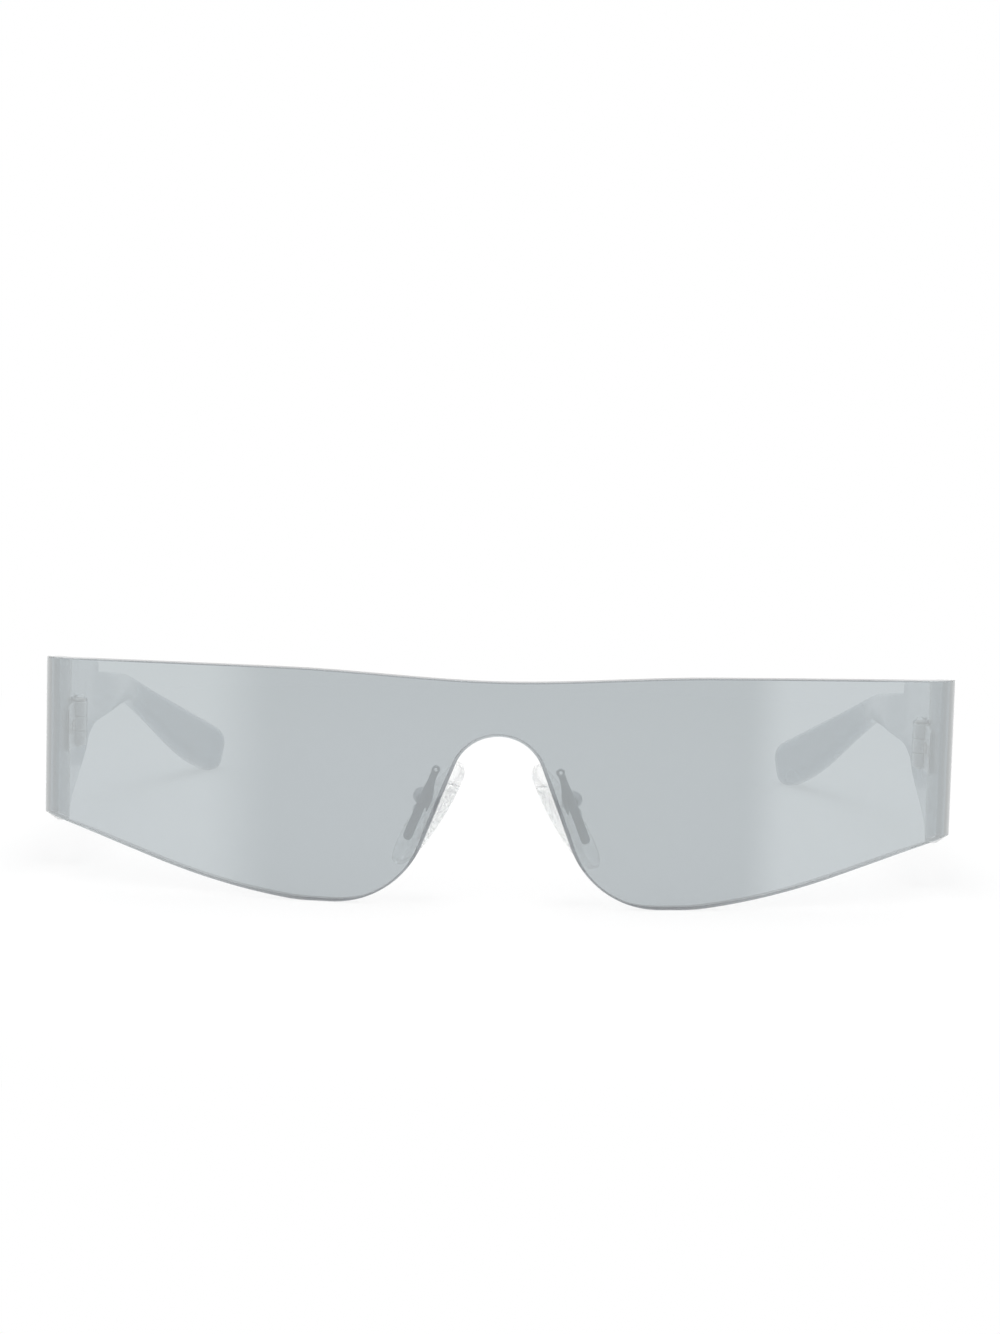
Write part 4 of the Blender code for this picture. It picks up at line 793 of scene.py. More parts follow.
@dataclass
class ShieldLens:
    """The one-piece lens: its two edge lines, and the rounded wall that is drawn between them.

    Tables along an edge hold the distance from the middle in millimetres, and then the rounding of the
    rim in millimetres, or the painted shade of the cut face, as a tone from 0, the coat's colour, to 1,
    the cut's own grey. A rim's land is where its flat starts, in radii of its rounding.
    """

    top_round: float = 0.2 * MM
    end_round: float = 0.2 * MM
    low_rounds: Table = (
        (0.0, 0.3), (5.0, 0.4), (8.0, 0.65), (11.0, 0.65), (14.0, 0.4), (17.0, 0.25), (21.0, 0.3),
        (25.0, 0.6), (34.0, 0.7), (40.0, 0.6), (50.0, 0.6), (66.0, 0.5), (72.0, 0.2),
    )
    # The cut's tone along each edge is painted shade: darkest along the lower flanks, lighter at the nose
    # and towards the corners
    low_tones: Table = (
        (0.0, 0.15), (5.0, 0.5), (7.5, 1.0), (30.0, 0.9), (45.0, 0.6), (60.0, 0.4), (72.0, 0.1),
    )
    top_tones: Table = ((0.0, 0.9), (60.0, 0.9), (72.0, 0.2))
    tone_steps: int = 100
    coat_mark: int = 200
    brow_dip: float = 36.05 * MM
    brow_crest: float = 37.2 * MM
    crest_reach: float = 34.0 * MM
    brow_corner: float = 36.7 * MM
    brow_bend: float = 36.25 * MM
    arch_height: float = 27.4 * MM
    arch_radius: float = 7.35 * MM
    flank_tilt: float = math.radians(21.0)
    lobe_inner: float = 15.6 * MM
    rest_flat: float = 3.4 * MM
    lobe_outer: float = 30.0 * MM
    lobe_lift: float = math.radians(8.5)
    climb_radius: float = 120.0 * MM
    climb: float = math.radians(18.4)
    low_bend: float = 10.7 * MM
    corner_steps: int = 57
    return_steps: int = 25
    end_steps: int = 5
    rim_steps: int = 7
    rim_rows: tuple[float, ...] = (0.0, 0.004, 0.012)
    face_rows: tuple[float, float, int] = (0.03, 0.97, 22)
    rim_land: float = 1.4

    def lower_line(self) -> np.ndarray:
        """The lower edge over the front: arcs and straights joined with one tangent.

        Returns:
            Points (x, height) from the middle of the nose arch to the end of the front arc.
        """
        steep = QUARTER - self.flank_tilt
        arch = [0.0, self.arch_height] + bowl(self.arch_radius, np.linspace(0.0, steep, 49)) * [1.0, -1.0]
        foot_height = self.lobe_inner * (1.0 - math.cos(steep))
        foot_x = arch[-1, 0] + (arch[-1, 1] - foot_height) / math.tan(steep)
        flank = arch[-1] + ([foot_x, foot_height] - arch[-1]) * np.linspace(0.0, 1.0, 14)[1:-1, None]
        low_x = foot_x + self.lobe_inner * math.sin(steep)
        inner = [low_x, 0.0] + bowl(self.lobe_inner, np.linspace(-steep, 0.0, 41))
        outer = [low_x + self.rest_flat, 0.0] + bowl(self.lobe_outer, np.linspace(0.0, self.lobe_lift, 14))
        turn = np.linspace(self.lobe_lift, self.climb, 24)[1:]
        sweep = outer[-1] + bowl(self.climb_radius, turn) - bowl(self.climb_radius, self.lobe_lift)
        x = np.linspace(sweep[-1, 0], PLAN.front_x, 40)[1:]
        rise = np.stack([x, sweep[-1, 1] + (x - sweep[-1, 0]) * math.tan(self.climb)], 1)
        return np.concatenate([arch, flank, inner, outer, sweep, rise])

    def brow(self, x: np.ndarray) -> np.ndarray:
        """The upper edge over the front: an S-shaped rise to the crest, then a square-law fall.

        Args:
            x: distances from the middle.

        Returns:
            The height of the edge at each distance.
        """
        rise = self.brow_dip + (self.brow_crest - self.brow_dip) * smoothstep(x / self.crest_reach)
        part = np.maximum(x - self.crest_reach, 0.0) / (PLAN.front_x - self.crest_reach)
        fall = self.brow_crest - (self.brow_crest - self.brow_corner) * part**2
        return np.where(x <= self.crest_reach, rise, fall)

    def edge_lines(self) -> tuple[np.ndarray, ...]:
        """The lower and upper edge lines round the left half, as (run, height), with equal counts.

        Round the corner each height leaves one line's slope and takes up the next one's, by a cubic.

        Returns:
            The lower line, the upper line, and how far the wall's end is drawn in at each point.
        """
        front = self.lower_line()
        run = PLAN.run_at(front[:, 0])
        low, top = np.stack([run, front[:, 1]], 1), np.stack([run, self.brow(front[:, 0])], 1)
        share = np.linspace(0.0, 1.0, self.corner_steps)[1:]
        run = PLAN.front_run + PLAN.corner_run * share
        low_slope = (PLAN.seam_low - self.low_bend) / PLAN.return_run
        top_slope = (PLAN.seam_top - self.brow_bend) / PLAN.return_run
        blend = smoothstep(share)
        leave, join = share * (1 - share) ** 2, share**2 * (1 - share)
        low_bend = low[-1, 1] * (1 - blend) + self.low_bend * blend
        low_bend = low_bend + PLAN.corner_run * (leave * math.tan(self.climb) - join * low_slope)
        top_bend = top[-1, 1] * (1 - blend) + self.brow_bend * blend - PLAN.corner_run * join * top_slope
        low = np.concatenate([low, np.stack([run, low_bend], 1)])
        top = np.concatenate([top, np.stack([run, top_bend], 1)])
        # The last columns bunch up, so that the end of the wall can be rounded as its edges are
        turn, back = quarter_turn(self.end_steps), self.end_round / PLAN.return_run
        share = np.linspace(0.0, 1.0 - back, self.return_steps)[1:-1]
        drawn_in = np.zeros(len(low) + len(share))
        drawn_in = np.concatenate([drawn_in, self.end_round * (1 - np.cos(turn))])
        share = np.concatenate([share, 1.0 - back * (1 - np.sin(turn))])[:, None]
        low_end, top_end = (
            np.array([PLAN.seam_run + PLAN.behind_seam(height), height])
            for height in (PLAN.seam_low, PLAN.seam_top)
        )
        low = np.concatenate([low, low[-1] + (low_end - low[-1]) * share])
        top = np.concatenate([top, top[-1] + (top_end - top[-1]) * share])
        return low, top, drawn_in

    def skin(self) -> Skin:
        """The wall: a closed section per column, carried round the plan of the shield.

        The section goes up the outer face, over the upper rim, down the inner face and under the lower
        rim. Each rim is a quarter circle of its own radius, a flat and another quarter circle.

        Returns:
            The whole shield, left and right.
        """
        low, top, drawn_in = self.edge_lines()
        low, top = (np.concatenate([(line * [-1, 1])[:0:-1], line]) for line in (low, top))
        drawn_in = np.concatenate([drawn_in[:0:-1], drawn_in])[:, None]
        low_in, top_in = (np.gradient(line, axis=0)[:, ::-1] * [-1, 1] for line in (low, top))
        low_in /= np.linalg.norm(low_in, axis=1, keepdims=True)
        top_in /= -np.linalg.norm(top_in, axis=1, keepdims=True)
        # Rows close to each rim keep the face's shading flat up to the rim
        near = np.array(self.rim_rows)
        rise = np.concatenate([near, np.linspace(*self.face_rows), 1.0 - near[::-1]])
        rows, turn = len(rise), quarter_turn(self.rim_steps)[1:]
        inset, sink = np.append(1 - np.sin(turn), 0.0), np.append(1 - np.cos(turn), self.rim_land)
        rim = np.concatenate([inset, inset[::-1]])
        share = np.concatenate([rise, np.ones(len(rim)), rise[::-1], np.zeros(len(rim))])
        low_round = self.along_edge(self.low_rounds, low[:, 0])[:, None] * MM
        top_depth, low_depth = (
            np.concatenate([sink * radius, PLAN.wall - sink[::-1] * radius], axis=1)
            for radius in (np.full_like(low_round, self.top_round), low_round)
        )
        face = np.zeros((len(low), rows))
        depth = np.concatenate([face, top_depth, face + PLAN.wall, low_depth[:, ::-1]], axis=1)
        pull = np.concatenate([np.ones(rows), rim, np.ones(rows), rim])
        low_pull = pull * (1 - share) * low_round + drawn_in * (share < 0.5)
        top_pull = pull * share * self.top_round + drawn_in * (share > 0.5)
        place = low[:, None] * (1 - share)[None, :, None] + top[:, None] * share[None, :, None]
        place = place + low_in[:, None] * low_pull[..., None] + top_in[:, None] * top_pull[..., None]
        x, y, _ = PLAN.at(place[..., 0], np.clip(depth, drawn_in, PLAN.wall - drawn_in))
        skin = lofted(np.stack([x, y, place[..., 1]], axis=-1))
        # A face's mark is the coat's, or the painted shade of its cut, as a tone in hundredths
        column, around = np.divmod(np.arange(len(skin.quads)), len(share))
        on_top = (around >= rows - 1) & (around < rows + len(rim))
        under = around >= 2 * rows + len(rim) - 1
        tone = self.along_edge(self.top_tones, top[column, 0]) * on_top
        tone = tone + self.along_edge(self.low_tones, low[column, 0]) * under
        marks = np.round(self.tone_steps * tone).astype(int)
        skin.groups = np.where(around < rows - 1, self.coat_mark, marks)
        return skin

    @staticmethod
    def along_edge(table: Table, run: np.ndarray) -> np.ndarray:
        """A value that changes along an edge, from a table of millimetres from the middle and values."""
        places, values = np.array(table).T
        return np.interp(np.abs(run), places * MM, values)

    def build(self, finishes: Finishes) -> None:
        """Builds the lens, and turns its faces' marks into the two attributes that its finish reads.

        Args:
            finishes: the finishes.
        """
        lens = made("mirror_shield", [self.skin()])
        faces = lens.data.polygons
        marks = np.empty(len(faces), np.int32)
        faces.foreach_get("material_index", marks)
        faces.foreach_set("material_index", np.zeros_like(marks))
        coated = marks == self.coat_mark
        # The cut attribute carries the painted shade of the cut faces along the edges
        for name, share in (("coat", coated), ("cut", np.where(coated, 0, marks) / self.tone_steps)):
            values = lens.data.attributes.new(name, "FLOAT", "FACE").data
            values.foreach_set("value", share.astype(np.float32))
        lens.visible_shadow = False
        settled(lens, finishes.mirror, "front", "shield_lens")


# The temples


@dataclass
class Temple:
    """A moulded temple: a full-height panel that tapers to an arm, bends behind the ear and flares.

    The wedge's outline and the panel's lower edge are shares of the panel's length and of the seam's
    height. The section's corner shares are parts of the temple's width.
    """

    side: Side
    length: float = 115.52 * MM
    drop: float = math.radians(8.0)
    steepest_drop: float = math.radians(60.0)
    toe: float = math.radians(0.6)
    panel_length: float = 32.0 * MM
    panel_thickness: float = 1.8 * MM
    panel_step: float = 1.7 * MM
    step_blend: float = 0.5 * MM
    front_round: float = 0.25 * MM
    front_draw: float = 0.12
    lower_shares: Table = ((0.0, 1.0), (0.25, 0.812), (0.46, 0.697), (0.66, 0.585), (0.78, 0.475))
    flat_share: float = 0.8
    arm_share: float = 0.95
    thick_share: float = 1.5
    arm_front: float = 9.5 * MM
    arm_bend: float = 4.85 * MM
    arm_thickness: float = 3.4 * MM
    bend_start: float = 64.0 * MM
    bend_length: float = 19.0 * MM
    bend_growth: float = 1.08
    low_share: float = 0.6
    curl: float = math.radians(22.0)
    paddle_height: float = 8.9 * MM
    paddle_thickness: float = 5.1 * MM
    paddle_rounds: float = 1.4
    tip_round: float = 5.8 * MM
    tip_fullness: float = 3.0
    rest_cut: float = 0.3 * MM
    panel_corner: float = 0.16
    arm_corner: float = 0.42
    most_corner: float = 0.96
    wedge_top: Table = ((0.0, 0.235), (0.37, 0.215), (0.85, 0.305), (1.22, 0.34))
    wedge_rim: Table = ((0.72, 0.395), (0.44, 0.485), (0.30, 0.535), (0.15, 0.55), (0.0, 0.555))
    wedge_past: float = 2.0 * MM
    wedge_edge: float = 0.9 * MM
    inner_from: float = 0.9
    inner_blend: float = 0.08
    pocket_edge: float = 0.2 * MM
    pocket_room: float = 0.45 * MM
    spine_steps: int = 1381
    halvings: int = 24
    span_steps: tuple[int, ...] = (108, 10, 76, 46, 34)
    side_rows: tuple[int, ...] = (4, 96, 4, 24)

    def __post_init__(self) -> None:
        """Works out the seam's height square to the arm, and where the ear bend ends."""
        self.seam_height = (PLAN.seam_top - PLAN.seam_low) / math.cos(self.drop)
        self.bend_end = self.bend_start + self.bend_length

    def spine(self, paddle_drop: float) -> tuple[np.ndarray, ...]:
        """The upper outer edge line, as the running sum of its direction.

        The direction drops and curls by an S-shaped blend over the ear bend.

        Args:
            paddle_drop: the slope of the tip.

        Returns:
            Distances, points, directions and outward normals.
        """
        lengths = np.linspace(0.0, self.length, self.spine_steps)
        bend = smoothstep((lengths - self.bend_start) / self.bend_length)
        drop = self.drop + (paddle_drop - self.drop) * bend
        toe = self.toe + (self.curl - self.toe) * bend
        along = np.stack([-np.sin(toe) * np.cos(drop), np.cos(toe) * np.cos(drop), -np.sin(drop)], 1)
        x, y, _ = PLAN.at(PLAN.seam_run + PLAN.behind_seam(PLAN.seam_top))
        start = np.array([float(x), float(y), PLAN.seam_top]) + along[0] * PLAN.seam_gap
        steps = np.cumsum((along[1:] + along[:-1]) / 2 * (lengths[1] - lengths[0]), axis=0)
        outward = np.stack([np.cos(toe), np.sin(toe), np.zeros_like(toe)], 1)
        return lengths, np.concatenate([start[None], start + steps]), along, outward

    def stations(self) -> np.ndarray:
        """Distances along the temple at which its section is drawn, closer where it changes fast.

        Returns:
            The distances, from the seam to the tip.
        """
        front = self.front_round * (1 - np.cos(quarter_turn(4)))
        tip = self.length - self.tip_round * (1 - np.sin(quarter_turn(26)))
        marks = (front[-1], self.panel_length, self.panel_length + self.step_blend, self.bend_start,
                 self.bend_end, tip[0])
        spans = [np.linspace(start, end, steps)[1:]
                 for start, end, steps in zip(marks, marks[1:], self.span_steps)]
        return np.concatenate([front, *spans, tip[1:]])

    def edges(self, lengths: np.ndarray) -> tuple[np.ndarray, ...]:
        """How far the upper and the lower edge lie below the upper edge line.

        Args:
            lengths: distances from the seam.

        Returns:
            The upper and the lower edge's depth at each distance.
        """
        upper = self.panel_step * smoothstep((lengths - self.panel_length) / self.step_blend)
        front, bend, paddle = (
            self.panel_step + height for height in (self.arm_front, self.arm_bend, self.paddle_height)
        )
        table = [(share * self.panel_length, part * self.seam_height) for share, part in self.lower_shares]
        table += [
            (self.panel_length * self.arm_share, front),
            ((self.panel_length + self.bend_start) / 2, (front + bend) / 2),
            (self.bend_start, bend + (front - bend) / 6),
            (self.bend_start + self.bend_length * self.low_share, bend),
            (self.length - self.tip_round * self.paddle_rounds, paddle),
            (self.length, paddle),
        ]
        return upper, through(*zip(*table), lengths)

    def width(self, lengths: np.ndarray) -> np.ndarray:
        """The temple's thickness, from the flat panel to the full tip.

        Args:
            lengths: distances from the seam.

        Returns:
            The thickness at each distance.
        """
        table = (
            (0.0, self.panel_thickness),
            (self.panel_length * self.flat_share, self.panel_thickness),
            (self.panel_length * self.thick_share, self.arm_thickness),
            (self.bend_end, self.arm_thickness * self.bend_growth),
            (self.length - self.tip_round, self.paddle_thickness),
        )
        return through(*zip(*table), lengths)

    def section(self, half_width: np.ndarray, half_height: np.ndarray,
                corner: np.ndarray) -> tuple[np.ndarray, ...]:
        """Rounded rectangles, one per station, with many points up the inner side.

        Each is four quarter circles, each followed by a straight: over the top, down the inner side,
        along the bottom and up the outer side.

        Args:
            half_width: half the thickness at each station.
            half_height: half the height at each station.
            corner: the corner radius at each station.

        Returns:
            Two arrays of station and point: across, outwards, and up.
        """
        quarter = quarter_turn(9)
        half_width, half_height, corner = half_width[:, None], half_height[:, None], corner[:, None]
        flat_width, flat_height = half_width - corner, half_height - corner
        signs = ((1, 1), (-1, 1), (-1, -1), (1, -1))
        parts_across, parts_up = [], []
        for turn, ((across, up), rows) in enumerate(zip(signs, self.side_rows)):
            angle = quarter + turn * QUARTER
            run = 1 - 2 * np.linspace(0.0, 1.0, rows)[1:-1]
            level = np.ones_like(run)
            upright = turn % 2 == 1
            parts_across += [
                across * flat_width + corner * np.cos(angle),
                across * half_width * level if upright else across * flat_width * run,
            ]
            parts_up += [
                up * flat_height + corner * np.sin(angle),
                up * flat_height * run if upright else up * half_height * level,
            ]
        return np.concatenate(parts_across, 1), np.concatenate(parts_up, 1)

    def wedge_share(self, along: np.ndarray, up: np.ndarray) -> np.ndarray:
        """How much of the wedge stands at a point of the panel's inner side, from 0 to 1.

        The share falls from 1 to 0 over the wedge's soft edge, by the distance inside its outline.

        Args:
            along: distances from the seam.
            up: heights from the upper edge line, negative below it.

        Returns:
            The share at each point.
        """
        start = np.array(self.wedge_top + self.wedge_rim) * [self.panel_length, -self.seam_height]
        start[0, 0] = start[-1, 0] = -self.wedge_past
        end = np.roll(start, -1, axis=0)
        spot = np.stack([along, up], -1)[..., None, :]
        edge = end - start
        part = np.clip(((spot - start) * edge).sum(-1) / (edge**2).sum(-1), 0.0, 1.0)
        away = np.linalg.norm(spot - start - part[..., None] * edge, axis=-1).min(-1)
        # A point is inside where a line from it crosses the outline an odd number of times
        crosses = (start[:, 1] > spot[..., 1]) != (end[:, 1] > spot[..., 1])
        rise = np.where(edge[:, 1] == 0.0, 1.0, edge[:, 1])
        at = start[:, 0] + (spot[..., 1] - start[:, 1]) * edge[:, 0] / rise
        inside = (crosses & (spot[..., 0] < at)).sum(-1) % 2 == 1
        return smoothstep(np.where(inside, away, 0.0) / self.wedge_edge)

    def pocket_share(self, place: np.ndarray) -> np.ndarray:
        """How much of the inner side is let down for the hinge, from 0 to 1.

        The share is an S-shaped blend of the distance inside a box round the leaf and its knuckles.

        Args:
            place: points of the front frame.

        Returns:
            The share at each point.
        """
        hinge = Hinge(self.side)
        past_end = hinge.y + hinge.leaf_length + self.pocket_room - place[..., 1]
        from_middle = hinge.height / 2 + self.pocket_room - np.abs(place[..., 2] - hinge.mid_height)
        return smoothstep(np.minimum(past_end, from_middle) / self.pocket_edge)

    def rings(self, paddle_drop: float) -> np.ndarray:
        """The temple's sections, each square to its line, with the wedge raised on the inner side.

        The tip fades by a power curve, and the wedge stands as proud as the arm is thicker than the
        panel.

        Args:
            paddle_drop: the slope of the tip.

        Returns:
            An array of station, point and coordinate.
        """
        lengths, points, along, outward = self.spine(paddle_drop)
        stations = self.stations()
        upper, lower = self.edges(stations)
        width = self.width(stations)
        to_end = np.clip((stations - (self.length - self.tip_round)) / self.tip_round, 0.0, 1.0)
        fade = (1.0 - to_end**self.tip_fullness) ** (1.0 / self.tip_fullness)
        fade = fade * (1.0 - self.front_draw * np.clip(1.0 - stations / self.front_round, 0.0, 1.0) ** 2)
        spot, forward, outside = (
            np.stack([np.interp(stations, lengths, item[:, axis]) for axis in range(3)], 1)
            for item in (points, along, outward)
        )
        rise = np.cross(outside, forward)
        blend = smoothstep((stations - self.panel_length / 2) / self.panel_length)
        share = self.panel_corner + (self.arm_corner - self.panel_corner) * blend
        half_width, half_height = width / 2 * fade, (lower - upper) / 2 * (1 - (1 - fade) * (to_end > 0))
        corner = np.minimum(width * share, np.minimum(half_width, half_height) * self.most_corner)
        across, up = self.section(half_width, half_height, corner)
        level = up - (upper + lower)[:, None] / 2
        middle = spot - outside * width[:, None] / 2 - rise * (upper + lower)[:, None] / 2
        place = middle[:, None] + outside[:, None] * across[..., None] + rise[:, None] * up[..., None]
        # The wedge rises from the inner side alone, clear of the hinge's pocket
        inner = -across / np.maximum(half_width[:, None], TINY) - self.inner_from
        proud = np.maximum(self.arm_thickness - width, 0.0) * (stations < self.bend_start)
        stand = proud[:, None] * self.wedge_share(np.broadcast_to(stations[:, None], level.shape), level)
        stand = stand * (1 - self.pocket_share(place)) * smoothstep(inner / self.inner_blend)
        return place - outside[:, None] * stand[..., None]

    def paddle_drop(self) -> float:
        """The slope that brings the tip's lower edge to the surface, less the rest cut, by halving.

        Returns:
            The slope of the tip.
        """
        shallow, steep = self.drop, self.steepest_drop
        for _ in range(self.halvings):
            middle = (shallow + steep) / 2
            if self.rings(middle)[..., 2].min() > -self.rest_cut:
                shallow = middle
            else:
                steep = middle
        return (shallow + steep) / 2

    def build(self, finishes: Finishes) -> None:
        """Builds the moulding, with its tip resting flat on the surface.

        Args:
            finishes: the finishes.
        """
        word = self.side.word
        rings = self.rings(self.paddle_drop())
        rings[..., 2] = np.maximum(rings[..., 2], 0.0)
        temple = made(f"temple_moulding_{word}", [lofted(rings)], self.side)
        settled(temple, finishes.nylon, f"temple_arm_{word}", f"temple_{word}")


# The screws


def slotted_head(radius: float, seat: float, height: float, axes: Matrix) -> Skin:
    """A screw head with a slot: a crowned disc drawn in strips, whose middle strip is let down.

    Each strip of the disc runs from rim to rim at one distance across the slot. The crown falls with
    the square of the distance from the middle, and the rim goes straight down to the seat.

    Args:
        radius: the head's radius.
        seat: where the head starts on the third axis.
        height: how high the head stands.
        axes: the screw's frame.

    Returns:
        The closed head.
    """
    half, depth, crown_share = 0.14 * MM, 0.16 * MM, 0.3
    lead = np.sin(quarter_turn(14)[::-1]) * (radius - half) + half
    lines = np.concatenate([-lead, [-half, -half + MERGE, half - MERGE, half], lead[::-1]])
    let_in = np.abs(lines)[:, None] < half - MERGE / 2
    share = np.sin(np.linspace(-QUARTER, QUARTER, 25))
    x = np.sqrt(np.maximum(radius**2 - lines**2, 0.0))[:, None] * share[None]
    y = np.broadcast_to(lines[:, None], x.shape)
    crown = height - height * crown_share * (x**2 + y**2) / radius**2 - depth * let_in
    top = np.stack([x, y, seat + crown], -1)
    base = np.stack([x, y, np.full_like(x, seat)], -1)
    return lofted(carried(np.concatenate([top, base[:, ::-1]], axis=1), axes))


def headed_screw(shank: Sequence, head: float, height: float, axes: Matrix) -> list[Skin]:
    """A turned shank with a slotted head at its end.

    Args:
        shank: the shank's radii and heights, the last at the head's seat.
        head: the head's radius.
        height: how high the head stands.
        axes: the screw's frame.

    Returns:
        The skins of the shank and of the head.
    """
    return [turned(shank, axes, 32), slotted_head(head, shank[-1][1], height, axes)]


# The nose brackets and what they carry


@dataclass
class NoseBracket:
    """A stamped bracket on the shield's back, with its pegs, its arm, the pad box and the pad's screw."""

    side: Side
    reach: float = 11.8 * MM
    mid_height: float = 17.0 * MM
    tilt: float = math.radians(21.5)
    thickness: float = 0.7 * MM
    edge: float = 0.12 * MM
    seat_gap: float = 0.12 * MM
    upper: float = 5.05 * MM
    lower: float = 6.4 * MM
    eyelet: float = 0.7 * MM
    neck: float = 0.58 * MM
    bar: float = 0.76 * MM
    body_in: float = 1.4 * MM
    body_out: float = 0.75 * MM
    body_upper: float = 3.0 * MM
    body_lower: float = 1.7 * MM
    notch: float = 0.45 * MM
    outboard_round: float = 0.4 * MM
    inboard_round: float = 0.3 * MM
    peg: float = 0.3 * MM
    peg_depth: float = 1.2 * MM
    peg_head: float = 0.54 * MM
    peg_height: float = 0.25 * MM
    peg_rim: float = 0.3
    peg_gap: float = 0.08 * MM
    splay: float = math.radians(22.0)
    pad_tilt: float = math.radians(32.0)
    setback: float = 4.4 * MM
    box_drop: float = 0.6 * MM
    box_out: float = 0.4 * MM
    box_radius: float = 1.4 * MM
    box_length: float = 2.2 * MM
    slot: float = 1.3 * MM
    slot_half_height: float = 1.02 * MM
    back_wall: float = 0.45 * MM
    overlap: float = 0.02 * MM
    arm_radius: float = 0.45 * MM
    arm_gap: float = 0.15 * MM
    arm_lead: float = 1.6
    arm_depth: float = 0.72
    screw_radius: float = 0.36 * MM
    screw_head: float = 0.75 * MM
    screw_head_height: float = 0.3 * MM
    screw_gap: float = 0.08 * MM

    def __post_init__(self) -> None:
        """Works out the plate's frame, and the frames of the pad and its screw on the box."""
        x, y, angle = (float(value) for value in PLAN.at(PLAN.run_at(self.reach), PLAN.wall))
        inboard = Vector((-math.cos(angle), -math.sin(angle), 0.0))
        back, up = Vector((-math.sin(angle), math.cos(angle), 0.0)), Vector((0.0, 0.0, 1.0))
        first = inboard * math.cos(self.tilt) - up * math.sin(self.tilt)
        second = up * math.cos(self.tilt) + inboard * math.sin(self.tilt)
        self.face = self.seat_gap + self.thickness
        self.axes = axes_at((x, y, self.mid_height), first, second, back)
        centre = self.axes @ Vector((-self.box_out, 0.0, self.setback)) - up * self.box_drop
        turn = Matrix.Rotation(-self.pad_tilt, 3, "Y") @ Matrix.Rotation(-self.splay, 3, "Z")
        across, along, rise = turn.col
        self.pad_axes = axes_at(centre, across, along, rise)
        self.screw_axes = axes_at(centre, rise, across, along)
        self.box_axes = axes_at(centre, across, rise, -along)

    def outline(self) -> np.ndarray:
        """The stamped outline below the eyelet: a neck, a wider body with one finger, and a bar.

        The body's corners are shares of its own reaches, from the neck down the outboard side and from
        the bar up the inboard side.

        Returns:
            The outline, as rows of two coordinates: inboard and up.
        """
        neck_top = self.upper - math.sqrt(self.eyelet**2 - self.neck**2)
        neck = np.array([(self.neck, neck_top), (0.0, self.upper - self.peg * 1.2), (-self.neck, neck_top)])
        bar_end = [0.0, -self.lower] + circle(np.linspace(math.pi, 2 * math.pi, 17), self.bar)
        finger = self.bar + self.notch / 2
        outboard = softened(np.array([
            (-self.neck, self.body_upper * 1.1), (-self.neck, self.body_upper),
            (-self.body_out, self.body_upper / 3), (-self.body_out, -self.body_lower / 2),
            (-self.bar, -self.body_lower), (-self.bar, -self.body_lower * 1.4),
        ]), self.outboard_round)[5:-5]
        inboard = softened(np.array([
            (self.bar, -self.body_lower * 1.4), (self.bar, -self.body_lower + self.notch),
            (finger, -self.body_lower + self.notch), (finger, -self.body_lower),
            (self.body_in * 0.93, -self.body_lower), (self.body_in, -self.body_lower / 2),
            (self.body_in * 0.93, self.body_upper / 3), (self.body_in * 0.6, self.body_upper * 0.8),
            (self.neck, self.body_upper * 1.2), (self.neck, self.body_upper * 1.35),
        ]), self.inboard_round)[5:-5]
        return np.concatenate([neck, outboard, bar_end, inboard])

    def build_plate(self, finishes: Finishes) -> None:
        """Builds the stamped plate, with its open eyelet, and the two pegs that hold it.

        Args:
            finishes: the finishes.
        """
        word, low, high, edge = self.side.word, self.seat_gap, self.face, self.edge
        stamped = plate(self.outline(), low, high, edge, self.axes)
        ring = turned([
            (self.peg, low), (self.eyelet - edge, low), (self.eyelet, low + edge),
            (self.eyelet, high - edge), (self.eyelet - edge, high), (self.peg, high), (self.peg, low),
        ], self.axes @ Matrix.Translation((0.0, self.upper, 0.0)), capped=False)
        bracket = made(f"stamped_bracket_{word}", [stamped, ring], self.side)
        settled(bracket, finishes.bracket, "front", f"nose_bracket_{word}")
        seat = high + self.peg_gap
        dome = quarter_turn(8)
        radius = self.peg_head * np.cos(dome) + MERGE / 10
        height = seat + self.peg_height * (self.peg_rim + (1 - self.peg_rim) * np.sin(dome))
        profile = [(self.peg, -self.peg_depth), (self.peg, seat), (self.peg_head, seat)]
        profile += zip(radius, height)
        for place, up in (("upper", self.upper), ("lower", -self.lower)):
            axes = self.axes @ Matrix.Translation((0.0, up, 0.0))
            peg = made(f"headed_peg_{place}_{word}", [turned(profile, axes, 32)], self.side)
            settled(peg, finishes.clear, "front", f"bracket_peg_{place}_{word}")

    def build_arm(self, finishes: Finishes) -> None:
        """Builds the bent wire that stands on the bracket's bar and carries the box from below.

        Args:
            finishes: the finishes.
        """
        start, foot = self.face + self.arm_gap, -self.body_lower - self.arm_radius * 2
        seat = self.box_radius + self.arm_gap
        corners = np.array([
            self.axes @ Vector((0.0, foot, start)),
            self.axes @ Vector((0.0, foot, start + self.arm_radius * 2)),
            self.axes @ Vector((-self.box_out / 2, foot - self.arm_radius, self.setback * self.arm_depth)),
            self.pad_axes @ Vector((0.0, 0.0, -seat - self.arm_radius * self.arm_lead)),
            self.pad_axes @ Vector((0.0, 0.0, -seat)),
        ])
        arm = made(f"bent_pad_arm_{self.side.word}", [tube(spline(corners, 14), self.arm_radius)], self.side)
        settled(arm, finishes.bracket, "front", f"pad_arm_{self.side.word}")

